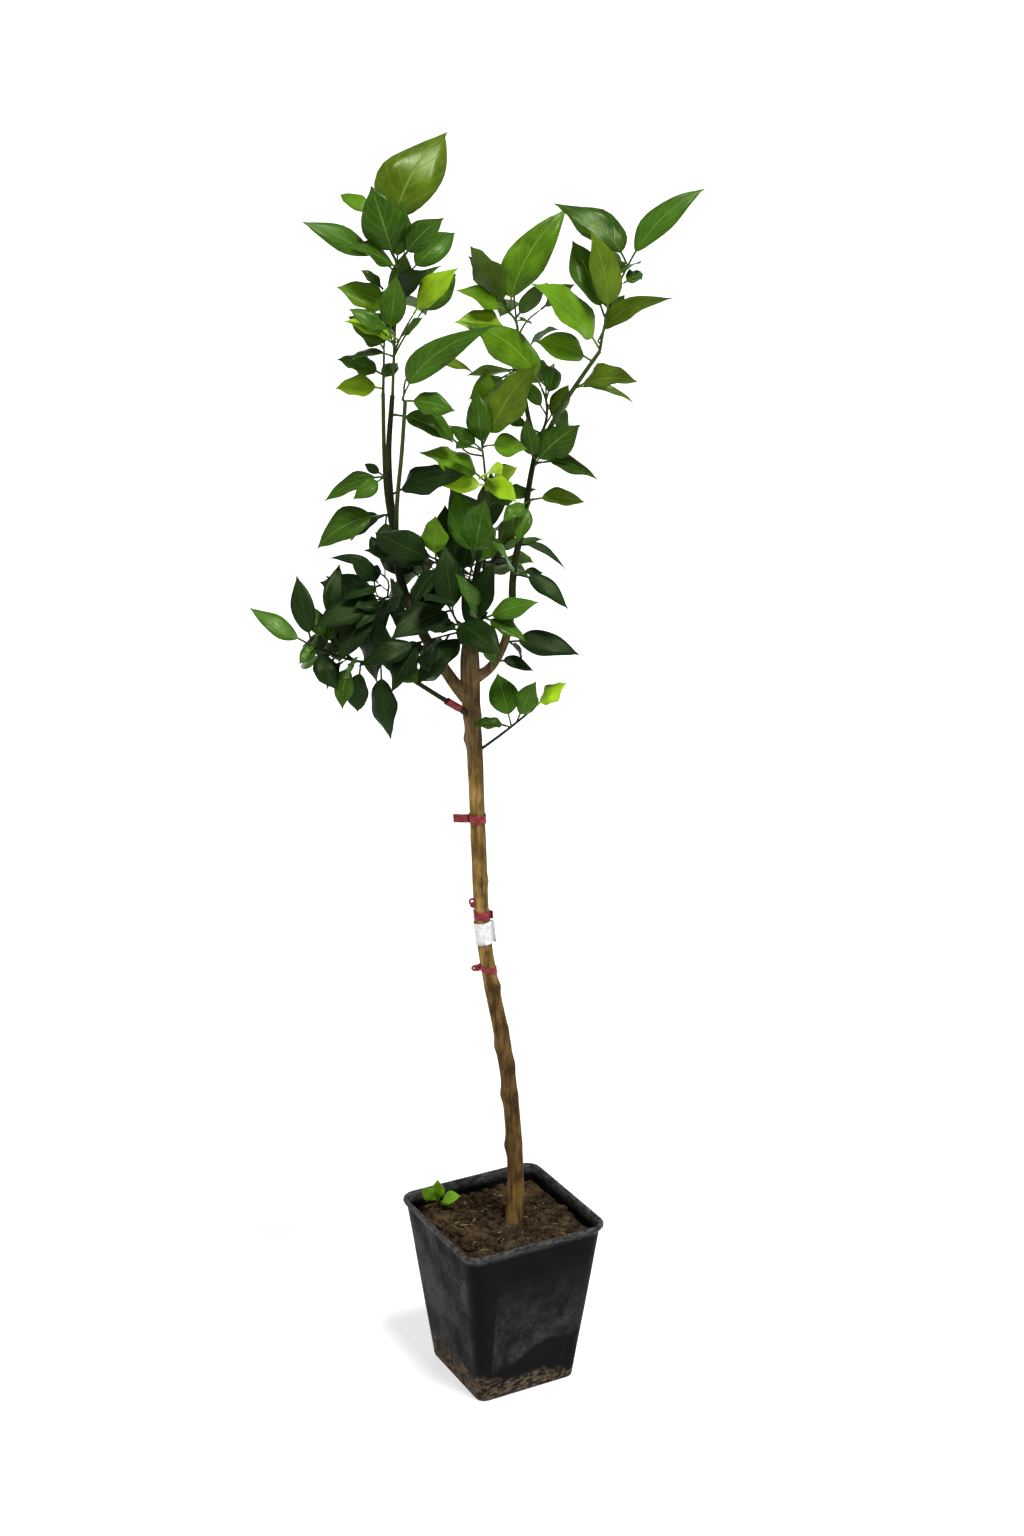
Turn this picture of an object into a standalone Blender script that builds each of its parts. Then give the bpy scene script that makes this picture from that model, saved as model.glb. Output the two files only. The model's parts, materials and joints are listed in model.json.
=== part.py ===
"""A young lemon tree in a square nursery pot, 1.3 m tall.

The pot stands square to the axes with its underside on z = 0. The plant is drawn in its own
frame, x to the right of its best side, y away from it and z up, and then turned in the pot.
"""
import math
import random
from collections import namedtuple

import bmesh
import bpy
from mathutils import Matrix, Vector
from mathutils.bvhtree import BVHTree

MM = 0.001
GAP = 0.3 * MM
UP = Vector((0, 0, 1))
AWAY = Vector((0, 1, 0))

# Pot: a square tub with rounded corners and a rolled rim.
POT_HEIGHT = 0.190
RIM_SIDE = 0.163
BASE_SIDE = 0.117
RIM_CORNER = 0.014
BASE_CORNER = 0.010
POT_WALL = 0.0016
BEAD = 0.0035
SOIL_TOP = 0.1745
SOIL_ROUGH = 0.003
SOIL_FLAT = 0.070
TREE_TURN = math.radians(-28.4)

# Limbs: name, parent and how far along it, then points in mm and the two end radii.
Limb = namedtuple("Limb", "parent at points thick thin sides")
LIMBS = {
    "trunk": Limb(None, 0, [
        (13, 0, 168), (14, 0, 240), (9, 0, 320), (1, 0, 385), (-11, 0, 450), (-20, 0, 515),
        (-24, 0, 610), (-27, 0, 700), (-31, 0, 760), (-32, 0, 825)], 8.8, 8.4, 10),
    "bough_left": Limb("trunk", 0.90, [
        (-50, -6, 782), (-80, -12, 835), (-99, 5, 878), (-107, 12, 935), (-110, 10, 1000),
        (-105, 5, 1062)], 6.4, 2.3, 8),
    "branch_twin": Limb("bough_left", 0.56, [(-113, 18, 962), (-115, 22, 1005), (-115, 22, 1062)], 1.9, 1.6, 6),
    "branch_front": Limb("bough_left", 0.51, [(-102, -3, 955), (-96, -10, 1010), (-92, -12, 1058)], 1.9, 1.6, 6),
    "bough_low": Limb("trunk", 0.872, [(-45, -14, 756), (-60, -18, 766), (-92, -22, 788), (-116, -22, 802)],
                      2.4, 1.7, 6),
    "bough_right": Limb("trunk", 0.93, [
        (-11, -8, 795), (3, -14, 822), (10, -14, 856), (11, -10, 880), (14, -5, 905), (22, 0, 940),
        (28, 5, 980), (36, 8, 1020)], 4.8, 2.4, 8),
    "bough_centre": Limb("trunk", 1.0, [(-29, 6, 850), (-24, 16, 888), (-14, 20, 928)], 5.2, 2.4, 8),
    "bough_back": Limb("trunk", 0.97, [(-26, 35, 822), (-21, 70, 852)], 4.2, 2.6, 6),
    "branch_mid": Limb("bough_right", 0.97, [(27, 18, 1036), (21, 27, 1070), (16, 30, 1114)], 2.1, 1.6, 6),
    "branch_right": Limb("bough_right", 0.93, [(54, -4, 1045), (72, -8, 1074), (94, -10, 1106)], 2.2, 1.6, 6),
}
TRUNK_FLARE = 0.0022
TRUNK_FLARE_HEIGHT = 0.030
TRUNK_FORK_SWELL = 0.0014

# Masses: the limb each grows on, how far its foliage may stand from its stem, then its shoots. The
# first is the stem. The others leave the stem. Lengths in mm, angles in degrees.
# at: how far along the limb or stem. clock: 0 points right, 90 up. away: out of that plane.
# bend: how far the shoot turns clockwise over its length. size: its leaves' length.
Shoot = namedtuple("Shoot", "at reach clock away bend leaves size wide", defaults=(1,))
MASSES = {
    "left_top": ("bough_left", 300, [
        Shoot(1.00, 125, 87, 0, 0, 5, 58), Shoot(1.00, 30, 99, 8, 36, 1, 111, 1.3),
        Shoot(0.97, 8, 106, -14, 0, 1, 72, 1.35), Shoot(0.92, 20, 140, -8, -10, 1, 82, 0.7),
        Shoot(1.00, 54, 122, 22, -12, 1, 46, 0.8),
        Shoot(0.92, 18, 66, -15, 14, 2, 54, 1.3), Shoot(0.80, 22, 52, 12, 10, 1, 64, 1.2),
        Shoot(0.65, 3, 150, -15, 0, 1, 58, 1.4), Shoot(0.39, 2, 140, -15, 0, 1, 50, 1.5),
        Shoot(0.33, 44, 62, -14, 8, 2, 62, 1.2), Shoot(0.30, 46, 57, 16, 8, 1, 60, 1.1),
        Shoot(0.58, 46, 82, 62, 0, 3, 54), Shoot(0.36, 40, 96, -62, 0, 3, 52),
        Shoot(0.72, 5, 66, -40, 10, 1, 46, 1.1)]),
    "left_twin": ("branch_twin", 110, [
        Shoot(1.00, 44, 88, 5, 0, 3, 44), Shoot(0.40, 2, 150, -12, 0, 1, 46, 1.5),
        Shoot(0.10, 2, 168, -10, 0, 1, 46, 1.5)]),
    "left_front": ("branch_front", 150, [
        Shoot(1.00, 8, 98, -10, 58, 1, 96, 0.85), Shoot(0.90, 42, 54, 12, 60, 1, 42),
        Shoot(0.10, 3, 14, -20, 20, 1, 50)]),
    "left_shelf": ("bough_left", 80, [Shoot(0.94, 8, 4, -15, 20, 1, 60)]),
    "left_side": ("bough_left", 90, [
        Shoot(0.75, 7, 166, -5, -30, 1, 60), Shoot(0.70, 5, 208, -40, 0, 1, 36),
        Shoot(0.60, 5, 150, 20, 0, 1, 22)]),
    "left_mid": ("bough_left", 100, [
        Shoot(0.635, 12, 173, -15, -20, 1, 72), Shoot(0.55, 3, 204, 30, -10, 1, 54, 1.3),
        Shoot(0.48, 6, 265, -50, 0, 1, 40)]),
    "left_in": ("bough_left", 100, [Shoot(0.695, 5, 44, -24, 20, 1, 84)]),
    "crown_light": ("bough_centre", 200, [
        Shoot(1.00, 88, 93, -15, -6, 3, 56), Shoot(1.00, 5, 71, -8, 10, 1, 92, 1.15),
        Shoot(0.58, 5, 129, -15, -15, 1, 70, 1.15), Shoot(1.00, 8, 20, -20, 20, 1, 38, 1.3),
        Shoot(0.97, 5, 140, 0, 0, 1, 36), Shoot(0.56, 10, 40, -40, 0, 1, 34, 1.3),
        Shoot(0.90, 32, 150, -20, 30, 1, 44), Shoot(1.00, 22, 88, 25, 0, 1, 62),
        Shoot(0.50, 44, 88, -64, 0, 3, 56)]),
    "mid_top": ("branch_mid", 150, [
        Shoot(1.00, 30, 110, 0, -30, 1, 76), Shoot(0.80, 5, 113, -12, 56, 1, 102, 0.95),
        Shoot(0.88, 6, 150, -25, 0, 1, 54), Shoot(0.92, 6, 114, 25, 0, 1, 62),
        Shoot(0.05, 10, 141, -25, -15, 1, 60), Shoot(0.05, 36, 48, 15, 20, 1, 40),
        Shoot(0.40, 46, 96, 62, 0, 3, 54)]),
    "mid_low": ("bough_right", 170, [
        Shoot(1.00, 54, 88, -1, -48, 1, 90, 1.1), Shoot(0.70, 5, 72, 35, 0, 1, 50),
        Shoot(0.45, 8, 120, -20, 0, 1, 36), Shoot(0.10, 12, 150, -10, 0, 1, 38),
        Shoot(0.25, 8, 56, 25, 0, 1, 46), Shoot(0.50, 44, 92, 60, 0, 3, 54)]),
    "mid_back": ("branch_mid", 100, [
        Shoot(0.72, 6, 182, 34, -20, 1, 52), Shoot(0.50, 14, 210, 20, 0, 1, 46),
        Shoot(0.60, 24, 60, 45, 0, 2, 50)]),
    "right_top": ("branch_right", 220, [
        Shoot(1.00, 86, 72, 0, 18, 1, 102, 0.55), Shoot(0.95, 5, 94, 10, -40, 1, 86),
        Shoot(0.34, 5, 110, 12, 0, 1, 80, 1.2), Shoot(0.34, 6, 78, -12, -20, 1, 80),
        Shoot(0.40, 5, 70, 60, 0, 1, 54), Shoot(0.08, 8, 102, -20, 70, 1, 86, 0.7),
        Shoot(0.00, 4, 109, -20, -20, 1, 96, 1.15),
        Shoot(0.56, 46, 84, 62, 0, 3, 58)]),
    "right_fork": ("branch_right", 100, [
        Shoot(0.62, 8, 44, -32, 20, 1, 68), Shoot(0.76, 8, 12, -10, 16, 1, 52, 0.4)]),
    "right_light": ("branch_right", 90, [Shoot(0.90, 4, 140, -25, -10, 1, 60, 1.35)]),
    "right_low": ("bough_right", 110, [
        Shoot(0.885, 15, 33, -15, 40, 1, 54), Shoot(0.30, 3, 72, -30, 24, 1, 60, 1.15),
        Shoot(0.45, 6, 105, -30, 0, 1, 46)]),
    "right_shelf": ("bough_right", 90, [
        Shoot(0.76, 10, 18, 10, 20, 1, 48), Shoot(0.45, 6, 250, -40, 0, 1, 42),
        Shoot(0.50, 8, 200, -50, 0, 1, 36)]),
    "right_hook": ("bough_right", 80, [Shoot(0.58, 8, 44, 0, 70, 1, 42, 0.6)]),
    "right_side": ("bough_right", 100, [
        Shoot(0.475, 10, 14, -20, 40, 1, 54), Shoot(0.50, 12, 120, -50, 40, 1, 46),
        Shoot(0.60, 6, 20, 30, 20, 1, 24)]),
    "right_wing": ("bough_right", 100, [
        Shoot(0.22, 6, 18, -10, 20, 1, 70), Shoot(0.60, 5, -30, 35, 20, 1, 28)]),
    "right_foot": ("bough_right", 80, [Shoot(0.12, 8, 24, 10, 40, 1, 34)]),
    "low_right": ("trunk", 130, [
        Shoot(0.815, 84, 41, -10, -6, 1, 38, 1.3), Shoot(0.66, 6, 70, -20, 0, 1, 46, 1.4),
        Shoot(0.58, 6, 104, 15, 0, 1, 52, 1.3), Shoot(0.56, 5, 152, -20, -10, 1, 36)]),
    "low_left": ("bough_low", 180, [
        Shoot(1.00, 82, 162, -8, 24, 2, 64, 0.7),
        Shoot(0.90, 5, 104, 5, 0, 1, 66, 0.8), Shoot(0.36, 46, 117, 0, 40, 2, 56, 0.9),
        Shoot(0.88, 5, 300, -20, 0, 1, 44, 1.3), Shoot(0.28, 6, 262, -5, 0, 1, 50, 1.1),
        Shoot(0.04, 6, 272, -15, 0, 1, 72), Shoot(0.06, 6, -10, -30, 0, 1, 48),
        Shoot(0.40, 44, 150, 62, 0, 3, 46)]),
    "left_cloud": ("bough_left", 140, [
        Shoot(0.40, 34, 186, -35, 0, 5, 68), Shoot(0.60, 33, 112, 0, -50, 1, 44, 0.6),
        Shoot(0.40, 40, 225, -10, 0, 4, 64)]),
    "front_cloud": ("trunk", 158, [
        Shoot(0.985, 85, 108, -50, 0, 7, 72), Shoot(0.40, 44, 190, -20, 0, 4, 66),
        Shoot(0.45, 30, 30, -20, 0, 4, 56)]),
    "top_cloud": ("bough_centre", 140, [
        Shoot(0.48, 54, 146, -24, 0, 6, 68), Shoot(0.15, 32, 80, -30, 0, 3, 70, 1.25),
        Shoot(0.55, 36, 190, 12, 0, 3, 58), Shoot(0.92, 6, 95, -10, 0, 2, 42, 1.5)]),
    "seedling": (None, 60, [
        Shoot(1.00, 16, 92, -10, 0, 1, 27, 1.5), Shoot(0.90, 3, 132, -20, 0, 1, 25, 1.3),
        Shoot(0.75, 3, 40, -20, 0, 1, 25, 1.4)]),
    "back_cloud": ("bough_back", 150, [
        Shoot(1.00, 62, 84, 30, 0, 5, 70), Shoot(0.25, 50, 158, 10, 0, 4, 68),
        Shoot(0.30, 30, 60, 15, 0, 4, 54)]),
}
STEM_RADII = (1.6, 1.1)
SPUR_RADII = (1.1, 0.8)

# A weed seedling on the soil near the pot's left corner.
SEEDLING_FOOT = (-0.069, 0.028, SOIL_TOP - 4 * MM)

# Strips: limb, how far along it, height and free end in mm, colour. The pale one is a blank label.
RED_TAPE = (0.42, 0.03, 0.04)
STRIPS = {
    "tie_upper": ("trunk", 0.71, 9, -16, RED_TAPE),
    "tie_middle": ("trunk", 0.5511, 9, 3, RED_TAPE),
    "label": ("trunk", 0.522, 24, 4, (0.80, 0.80, 0.77)),
    "tie_lower": ("trunk", 0.46, 6, -10, RED_TAPE),
}
STRIP_THICK = 0.7 * MM
BAND_SLACK = 0.02

POT_COLOR = (0.018, 0.018, 0.020)
SOIL_COLOR = (0.045, 0.030, 0.020)
BARK_COLOR = (0.20, 0.135, 0.060)
TWIG_COLOR = (0.055, 0.085, 0.022)
FRESH_GREEN = (0.090, 0.210, 0.012)
DEEP_GREEN = (0.022, 0.075, 0.014)

# Leaves: a short stalk, then an oval blade with a point, folded along a midrib that bows down.
SPIRAL = 135
BARE_FOOT = 0.3
STALK = 0.12
STALK_WIDTH = 0.0016
BASE_ROUND = 0.85
TIP_ROUND = 1.25
WIDEST = BASE_ROUND / (BASE_ROUND + TIP_ROUND)
BLADE_STATIONS = (0.26, 0.48, 0.74)
BLADE_THICK = 0.014
TRIES = 5
SPARE = 0.0008

Leaf = namedtuple("Leaf", "base heading upper length width arch fold bow")


def through(points, steps=3):
    """A smooth line through the points."""
    ends = [points[0] * 2 - points[1], *points, points[-1] * 2 - points[-2]]
    line = []
    for before, here, there, after in zip(ends, ends[1:], ends[2:], ends[3:]):
        for i in range(steps):
            t = i / steps
            line.append((here * 2 + (there - before) * t
                         + (before * 2 - here * 5 + there * 4 - after) * t ** 2
                         + (here * 3 - before - there * 3 + after) * t ** 3) * 0.5)
    return line + [points[-1]]


def place_on(line, share):
    """The place this share of the way along the line, and the line's direction there."""
    spans = [(b - a).length for a, b in zip(line, line[1:])]
    left = share * sum(spans)
    for a, b, span in zip(line, line[1:], spans):
        if left <= span * 1.00001:
            break
        left -= span
    return a.lerp(b, min(left / span, 1)), (b - a).normalized()


def limb_line(name, lines):
    """A limb starts on its parent's centre line, so that its cut end follows the parent's bark."""
    limb = LIMBS[name]
    points = [Vector(point) * MM for point in limb.points]
    if limb.parent:
        points.insert(0, place_on(lines[limb.parent], limb.at)[0])
    return through(points)


def limb_radii(name, line):
    """Radii that taper. The trunk also flares at its foot and swells at its fork."""
    limb = LIMBS[name]
    radii = []
    for i, place in enumerate(line):
        share = i / (len(line) - 1)
        radius = (limb.thick + (limb.thin - limb.thick) * share) * MM
        if name == "trunk":
            height = place.z - line[0].z
            radius -= 1.0 * MM * math.sin(math.pi * share) ** 2
            radius += TRUNK_FLARE * math.exp(-height / TRUNK_FLARE_HEIGHT)
            radius += TRUNK_FORK_SWELL * math.exp(-((share - 0.93) / 0.08) ** 2)
        radii.append(radius)
    return radii


def aim(clock, away):
    """A direction from its angle in the plant's front plane and its angle out of that plane."""
    c, a = math.radians(clock), math.radians(away)
    return Vector((math.cos(c) * math.cos(a), math.sin(a), math.sin(c) * math.cos(a)))


def shoot_line(start, shoot):
    """A shoot's centre line, in steps of about 15 mm."""
    steps = max(2, min(6, round(shoot.reach / 15)))
    line = [start]
    for i in range(steps):
        clock = shoot.clock + shoot.bend * (0.5 - i / (steps - 1))
        line.append(line[-1] + aim(clock, shoot.away) * (shoot.reach * MM / steps))
    return line


def new_leaf(line, share, turn, shoot, rng):
    """A leaf at this share of a shoot. The last one goes on in the shoot's own direction and bend."""
    base, along = place_on(line, share)
    side = AWAY.cross(along).normalized()
    across = along.cross(side)
    outward = side * math.cos(turn) + across * math.sin(turn)
    pitch = math.radians(74 - 34 * share + rng.uniform(-12, 12)) if share < 1 else 0
    heading = (along * math.cos(pitch) + outward * math.sin(pitch)).normalized()
    light = AWAY * (0.7 if base.y > 0.03 else -0.7)
    face = along * math.sin(pitch) + UP * 0.7 + light + side * rng.uniform(-0.4, 0.4)
    upper = (face - heading * face.dot(heading)).normalized()
    length = shoot.size * MM * (1 if share == 1 else rng.uniform(0.85, 1.15))
    bow = shoot.bend / 100 if share == 1 else rng.uniform(-0.12, 0.12)
    return Leaf(base, heading, upper, length, length * shoot.wide * rng.uniform(0.42, 0.54),
                math.radians(rng.uniform(8, 40)), math.radians(rng.uniform(12, 34)), bow)


def half_width(leaf, share):
    """Half the blade's width at this share of the leaf's length."""
    t = (share - STALK) / (1 - STALK)
    peak = WIDEST ** BASE_ROUND * (1 - WIDEST) ** TIP_ROUND
    return max(STALK_WIDTH / 2, leaf.width / 2 * t ** BASE_ROUND * (1 - t) ** TIP_ROUND / peak)


def midrib(leaf, share):
    """A place on the midrib and the upper normal there: the midrib is one arc, bowed to one side."""
    turned = leaf.arch * share
    place = leaf.base + (leaf.heading * math.sin(turned)
                         + leaf.upper * (math.cos(turned) - 1)) * (leaf.length / leaf.arch)
    place += leaf.heading.cross(leaf.upper) * (leaf.bow * leaf.length * share ** 2)
    return place, leaf.upper * math.cos(turned) + leaf.heading * math.sin(turned)


def leaf_shape(leaf, root=-0.01, spare=0.0):
    """Points and faces of a leaf. The spare thickens it all round for a test of what it touches."""
    across = leaf.heading.cross(leaf.upper)
    points = []
    stations = [(root, STALK_WIDTH / 2), (STALK, STALK_WIDTH / 2)]
    stations += [(share, half_width(leaf, share)) for share in BLADE_STATIONS]
    for share, wide in stations:
        place, normal = midrib(leaf, share)
        fold = leaf.fold if share > STALK else 0
        wide += spare
        thick = max(leaf.length * BLADE_THICK, STALK_WIDTH * (share <= STALK)) / 2 + spare
        reach = across * (math.cos(fold) * wide)
        lift = normal * (math.sin(fold) * wide)
        points += [place + reach + lift, place + normal * thick, place - reach + lift, place - normal * thick]
    points.append(midrib(leaf, 1)[0])
    faces = [(0, 1, 2, 3)]
    for ring in range(len(stations) - 1):
        for i in range(4):
            a, b = ring * 4 + i, ring * 4 + (i + 1) % 4
            faces += [(b, a, a + 4), (b, a + 4, b + 4)]
    last = len(points) - 5
    faces += [(last + (i + 1) % 4, last + i, last + 4) for i in range(4)]
    return points, faces


def tube_shape(line, radii, sides, spare=0.0):
    """Points and faces of a closed limb about its centre line."""
    points = []
    side = None
    for i, centre in enumerate(line):
        ahead = (line[min(i + 1, len(line) - 1)] - line[max(i - 1, 0)]).normalized()
        side = (side or AWAY.cross(ahead))
        side = (side - ahead * side.dot(ahead)).normalized()
        across = ahead.cross(side)
        end = {0: -spare, len(line) - 1: spare}.get(i, 0)
        for k in range(sides):
            angle = 2 * math.pi * k / sides
            points.append(centre + ahead * end + (side * math.cos(angle) + across * math.sin(angle))
                          * (radii[i] + spare))
    faces = [tuple(reversed(range(sides)))]
    for ring in range(len(line) - 1):
        for k in range(sides):
            a, b = ring * sides + k, ring * sides + (k + 1) % sides
            faces.append((a, b, b + sides, a + sides))
    faces.append(tuple(range((len(line) - 1) * sides, len(line) * sides)))
    return points, faces


def shoot_radii(line, ends):
    """Radii from one end to the other, in metres."""
    return [(ends[0] + (ends[1] - ends[0]) * i / (len(line) - 1)) * MM for i in range(len(line))]


def stem_foot(name, limbs):
    """Where a mass's stem starts: on its limb, or on the soil."""
    limb, room, rows = MASSES[name]
    return place_on(limbs[limb], rows[0].at)[0] if limb else Vector(SEEDLING_FOOT)


def grow():
    """Centre lines of the limbs and shoots, and the leaves of each mass.

    A leaf that would leave its mass's space or touch anything is turned on round its shoot, and
    left out if it still does.
    """
    limbs = {}
    for name in LIMBS:
        limbs[name] = limb_line(name, limbs)
    shoots = {}
    placed = [BVHTree.FromPolygons(*tube_shape(line, limb_radii(name, line), LIMBS[name].sides))
              for name, line in limbs.items()]
    for name, (limb, room, rows) in MASSES.items():
        stem = shoot_line(stem_foot(name, limbs), rows[0])
        shoots[name] = [stem] + [shoot_line(place_on(stem, row.at)[0], row) for row in rows[1:]]
        for line in shoots[name]:
            radii = shoot_radii(line, STEM_RADII if line is stem else SPUR_RADII)
            placed.append(BVHTree.FromPolygons(*tube_shape(line, radii, 5)))
    leaves = {name: [] for name in MASSES}
    for ends_first in (True, False):
        for name, (limb, room, rows) in MASSES.items():
            for number, (row, line) in enumerate(zip(rows, shoots[name])):
                rng = random.Random(f"{name} {number} {ends_first}")
                turn = rng.uniform(0, 2 * math.pi)
                for i in range(row.leaves - 1, row.leaves) if ends_first else range(row.leaves - 1):
                    share = 1 if ends_first else BARE_FOOT + (0.96 - BARE_FOOT) * i / max(row.leaves - 2, 1)
                    for go in range(TRIES):
                        turn += math.radians(SPIRAL + rng.uniform(-20, 20)) if go == 0 else math.radians(50)
                        leaf = new_leaf(line, share, turn, row, rng)
                        tree = BVHTree.FromPolygons(*leaf_shape(leaf, root=0.09, spare=SPARE))
                        far = max((midrib(leaf, s)[0] - shoots[name][0][0]).length for s in (0.5, 1))
                        if far < room * MM and not any(tree.overlap(other) for other in placed):
                            leaves[name].append(leaf)
                            placed.append(BVHTree.FromPolygons(*leaf_shape(leaf)))
                            break
    return limbs, shoots, leaves


def clear_scene():
    for thing in list(bpy.data.objects):
        bpy.data.objects.remove(thing)


def new_object(name, points, faces, collection=None):
    mesh = bpy.data.meshes.new(name)
    mesh.from_pydata([tuple(point) for point in points], [], faces)
    mesh.update()
    thing = bpy.data.objects.new(name, mesh)
    (collection or bpy.context.scene.collection).objects.link(thing)
    return thing


def keep_result(thing):
    """Puts the modifiers' result into the object's own mesh."""
    graph = bpy.context.evaluated_depsgraph_get()
    mesh = bpy.data.meshes.new_from_object(thing.evaluated_get(graph))
    thing.modifiers.clear()
    thing.data = mesh


def boolean(thing, operation, cutter=None, collection=None):
    step = thing.modifiers.new(operation.lower(), "BOOLEAN")
    step.operation = operation
    step.solver = "MANIFOLD"
    if collection:
        step.operand_type = "COLLECTION"
        step.collection = collection
    else:
        step.object = cutter


def cutter_for(limb, limbs):
    """The limb, or with no limb the soil, grown by the gap: what it cuts ends just clear of it."""
    if limb:
        shape = tube_shape(limbs[limb], limb_radii(limb, limbs[limb]), LIMBS[limb].sides, spare=GAP)
        cutter = new_object("limb_cutter", *shape)
    else:
        cutter = make_soil("soil_cutter", raised=GAP)
        cutter.data.transform(Matrix.Rotation(-TREE_TURN, 4, "Z"))
    cutter.hide_render = True
    cutter.display_type = "WIRE"
    return cutter


def paint(thing, color, roughness, specular=0.5):
    material = bpy.data.materials.new(thing.name + "_material")
    material.use_nodes = True
    shader = material.node_tree.nodes["Principled BSDF"]
    shader.inputs["Base Color"].default_value = (*color, 1)
    shader.inputs["Roughness"].default_value = roughness
    shader.inputs["Specular IOR Level"].default_value = specular
    thing.data.materials.clear()
    thing.data.materials.append(material)


def rounded_square(side, corner, height, steps=4):
    """Points round a square with rounded corners, at one height."""
    points = []
    for quarter in range(4):
        middle = math.pi / 4 + quarter * math.pi / 2
        centre = Vector((math.cos(middle), math.sin(middle), 0)) * (side / 2 - corner) * math.sqrt(2)
        for i in range(steps + 1):
            angle = quarter * math.pi / 2 + i / steps * math.pi / 2
            points.append(centre + Vector((math.cos(angle), math.sin(angle), 0)) * corner + UP * height)
    return points


def stack(name, rings):
    """A closed solid from rings of equal count, the first and the last of them capped."""
    count = len(rings[0])
    points = [point for ring in rings for point in ring]
    faces = [tuple(reversed(range(count)))]
    for ring in range(len(rings) - 1):
        for k in range(count):
            a, b = ring * count + k, ring * count + (k + 1) % count
            faces.append((a, b, b + count, a + count))
    faces.append(tuple(range(len(points) - count, len(points))))
    return new_object(name, points, faces)


def side_at(height):
    """The pot's outer side at this height."""
    return BASE_SIDE + (RIM_SIDE - BASE_SIDE) * height / POT_HEIGHT


def corner_at(height):
    return BASE_CORNER + (RIM_CORNER - BASE_CORNER) * height / POT_HEIGHT


def make_pot():
    """One closed wall: up the outside, over the rolled rim and down to the floor inside."""
    profile = [(-0.003, 0), (0, 0.0015), (0, POT_HEIGHT - 0.0075), (BEAD * 1.4, POT_HEIGHT - 0.0065),
               (BEAD * 2, POT_HEIGHT - BEAD), (BEAD * 1.4, POT_HEIGHT - 0.0006), (BEAD * 0.4, POT_HEIGHT),
               (-POT_WALL * 2, POT_HEIGHT - BEAD), (-POT_WALL * 2, 0.003)]
    rings = [rounded_square(side_at(height) + wider, corner_at(height) + wider / 2, height)
             for wider, height in profile]
    return stack("pot", rings)


def make_soil(name="soil", raised=0.0):
    """The soil fills the pot: rough on top, flat where the trunk stands."""
    rng = random.Random("soil")
    narrower = 2 * (POT_WALL + GAP)
    rings = [rounded_square(side_at(height) - narrower, corner_at(height) - POT_WALL - GAP, height)
             for height in (0.003 + GAP, SOIL_TOP - 0.002)]
    wide = side_at(SOIL_TOP) - narrower
    for share in (0.86, 0.62):
        ring = rounded_square(wide * share, corner_at(SOIL_TOP) * 1.3, SOIL_TOP)
        rings.append([point + UP * rng.uniform(-0.4, 1) * SOIL_ROUGH for point in ring])
    rings.append(rounded_square(SOIL_FLAT, SOIL_FLAT * 0.4, SOIL_TOP))
    return stack(name, [[point + UP * raised for point in ring] for ring in rings])


def make_limbs(limbs):
    made = []
    for name, line in limbs.items():
        limb = LIMBS[name]
        thing = new_object(name, *tube_shape(line, limb_radii(name, line), limb.sides))
        cutter = cutter_for(limb.parent, limbs)
        boolean(thing, "DIFFERENCE", cutter=cutter)
        keep_result(thing)
        bpy.data.objects.remove(cutter)
        paint(thing, BARK_COLOR if limb.thick > 3 else TWIG_COLOR, 0.8, 0.3)
        made.append(thing)
    return made


def make_mass(name, limbs, shoots, leaves):
    """Fuses a mass from its stem, side shoots and leaves, and cuts it clear of its limb."""
    parts = bpy.data.collections.new(name + "_parts")
    bpy.context.scene.collection.children.link(parts)
    stem = shoots[name][0]
    mass = new_object(name, *tube_shape(stem, shoot_radii(stem, STEM_RADII), 5))
    for line in shoots[name][1:]:
        new_object("twig", *tube_shape(line, shoot_radii(line, SPUR_RADII), 3), collection=parts)
    for leaf in leaves[name]:
        new_object("leaf", *leaf_shape(leaf), collection=parts)
    boolean(mass, "UNION", collection=parts)
    limb = MASSES[name][0]
    boolean(mass, "DIFFERENCE", cutter=cutter_for(limb, limbs))
    keep_result(mass)
    for thing in list(parts.objects) + [thing for thing in bpy.data.objects if thing.hide_render]:
        bpy.data.objects.remove(thing)
    bpy.data.collections.remove(parts)
    paint(mass, FRESH_GREEN if stem[0].z > 1.0 or not limb else DEEP_GREEN, 0.45)
    return mass


def make_band(name, line, radii, at, tall, tab):
    """A strip round a limb, with its free end standing out: to the right for a tab above zero."""
    middle, along = place_on(line, at)
    near = [radius for place, radius in zip(line, radii) if (place - middle).length < 0.03]
    side = AWAY.cross(along).normalized() * math.copysign(1, tab)
    across = along.cross(side)
    inner = max(near) + GAP + BAND_SLACK * tall
    outer = inner + STRIP_THICK
    half = math.asin(STRIP_THICK / 2 / outer)
    turns = [half + i / 15 * 2 * (math.pi - half) for i in range(16)]
    loop = [(math.cos(turn) * outer, math.sin(turn) * outer) for turn in turns]
    loop += [(outer + abs(tab), -STRIP_THICK / 2), (outer + abs(tab), STRIP_THICK / 2)]
    hole = [(math.cos(turn) * inner, math.sin(turn) * inner) for turn in turns]
    hole += [(inner, -STRIP_THICK / 4), (inner, STRIP_THICK / 4)]
    count = len(loop)
    points = [middle + side * x + across * y + along * z
              for z in (-tall / 2, tall / 2) for ring in (loop, hole) for x, y in ring]
    faces = []
    for k in range(count):
        n = (k + 1) % count
        faces += [(k, n, n + 2 * count, k + 2 * count), (n + count, k + count, k + 3 * count, n + 3 * count),
                  (n, k, k + count, n + count), (k + 2 * count, n + 2 * count, n + 3 * count, k + 3 * count)]
    return new_object(name, points, faces)


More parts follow.
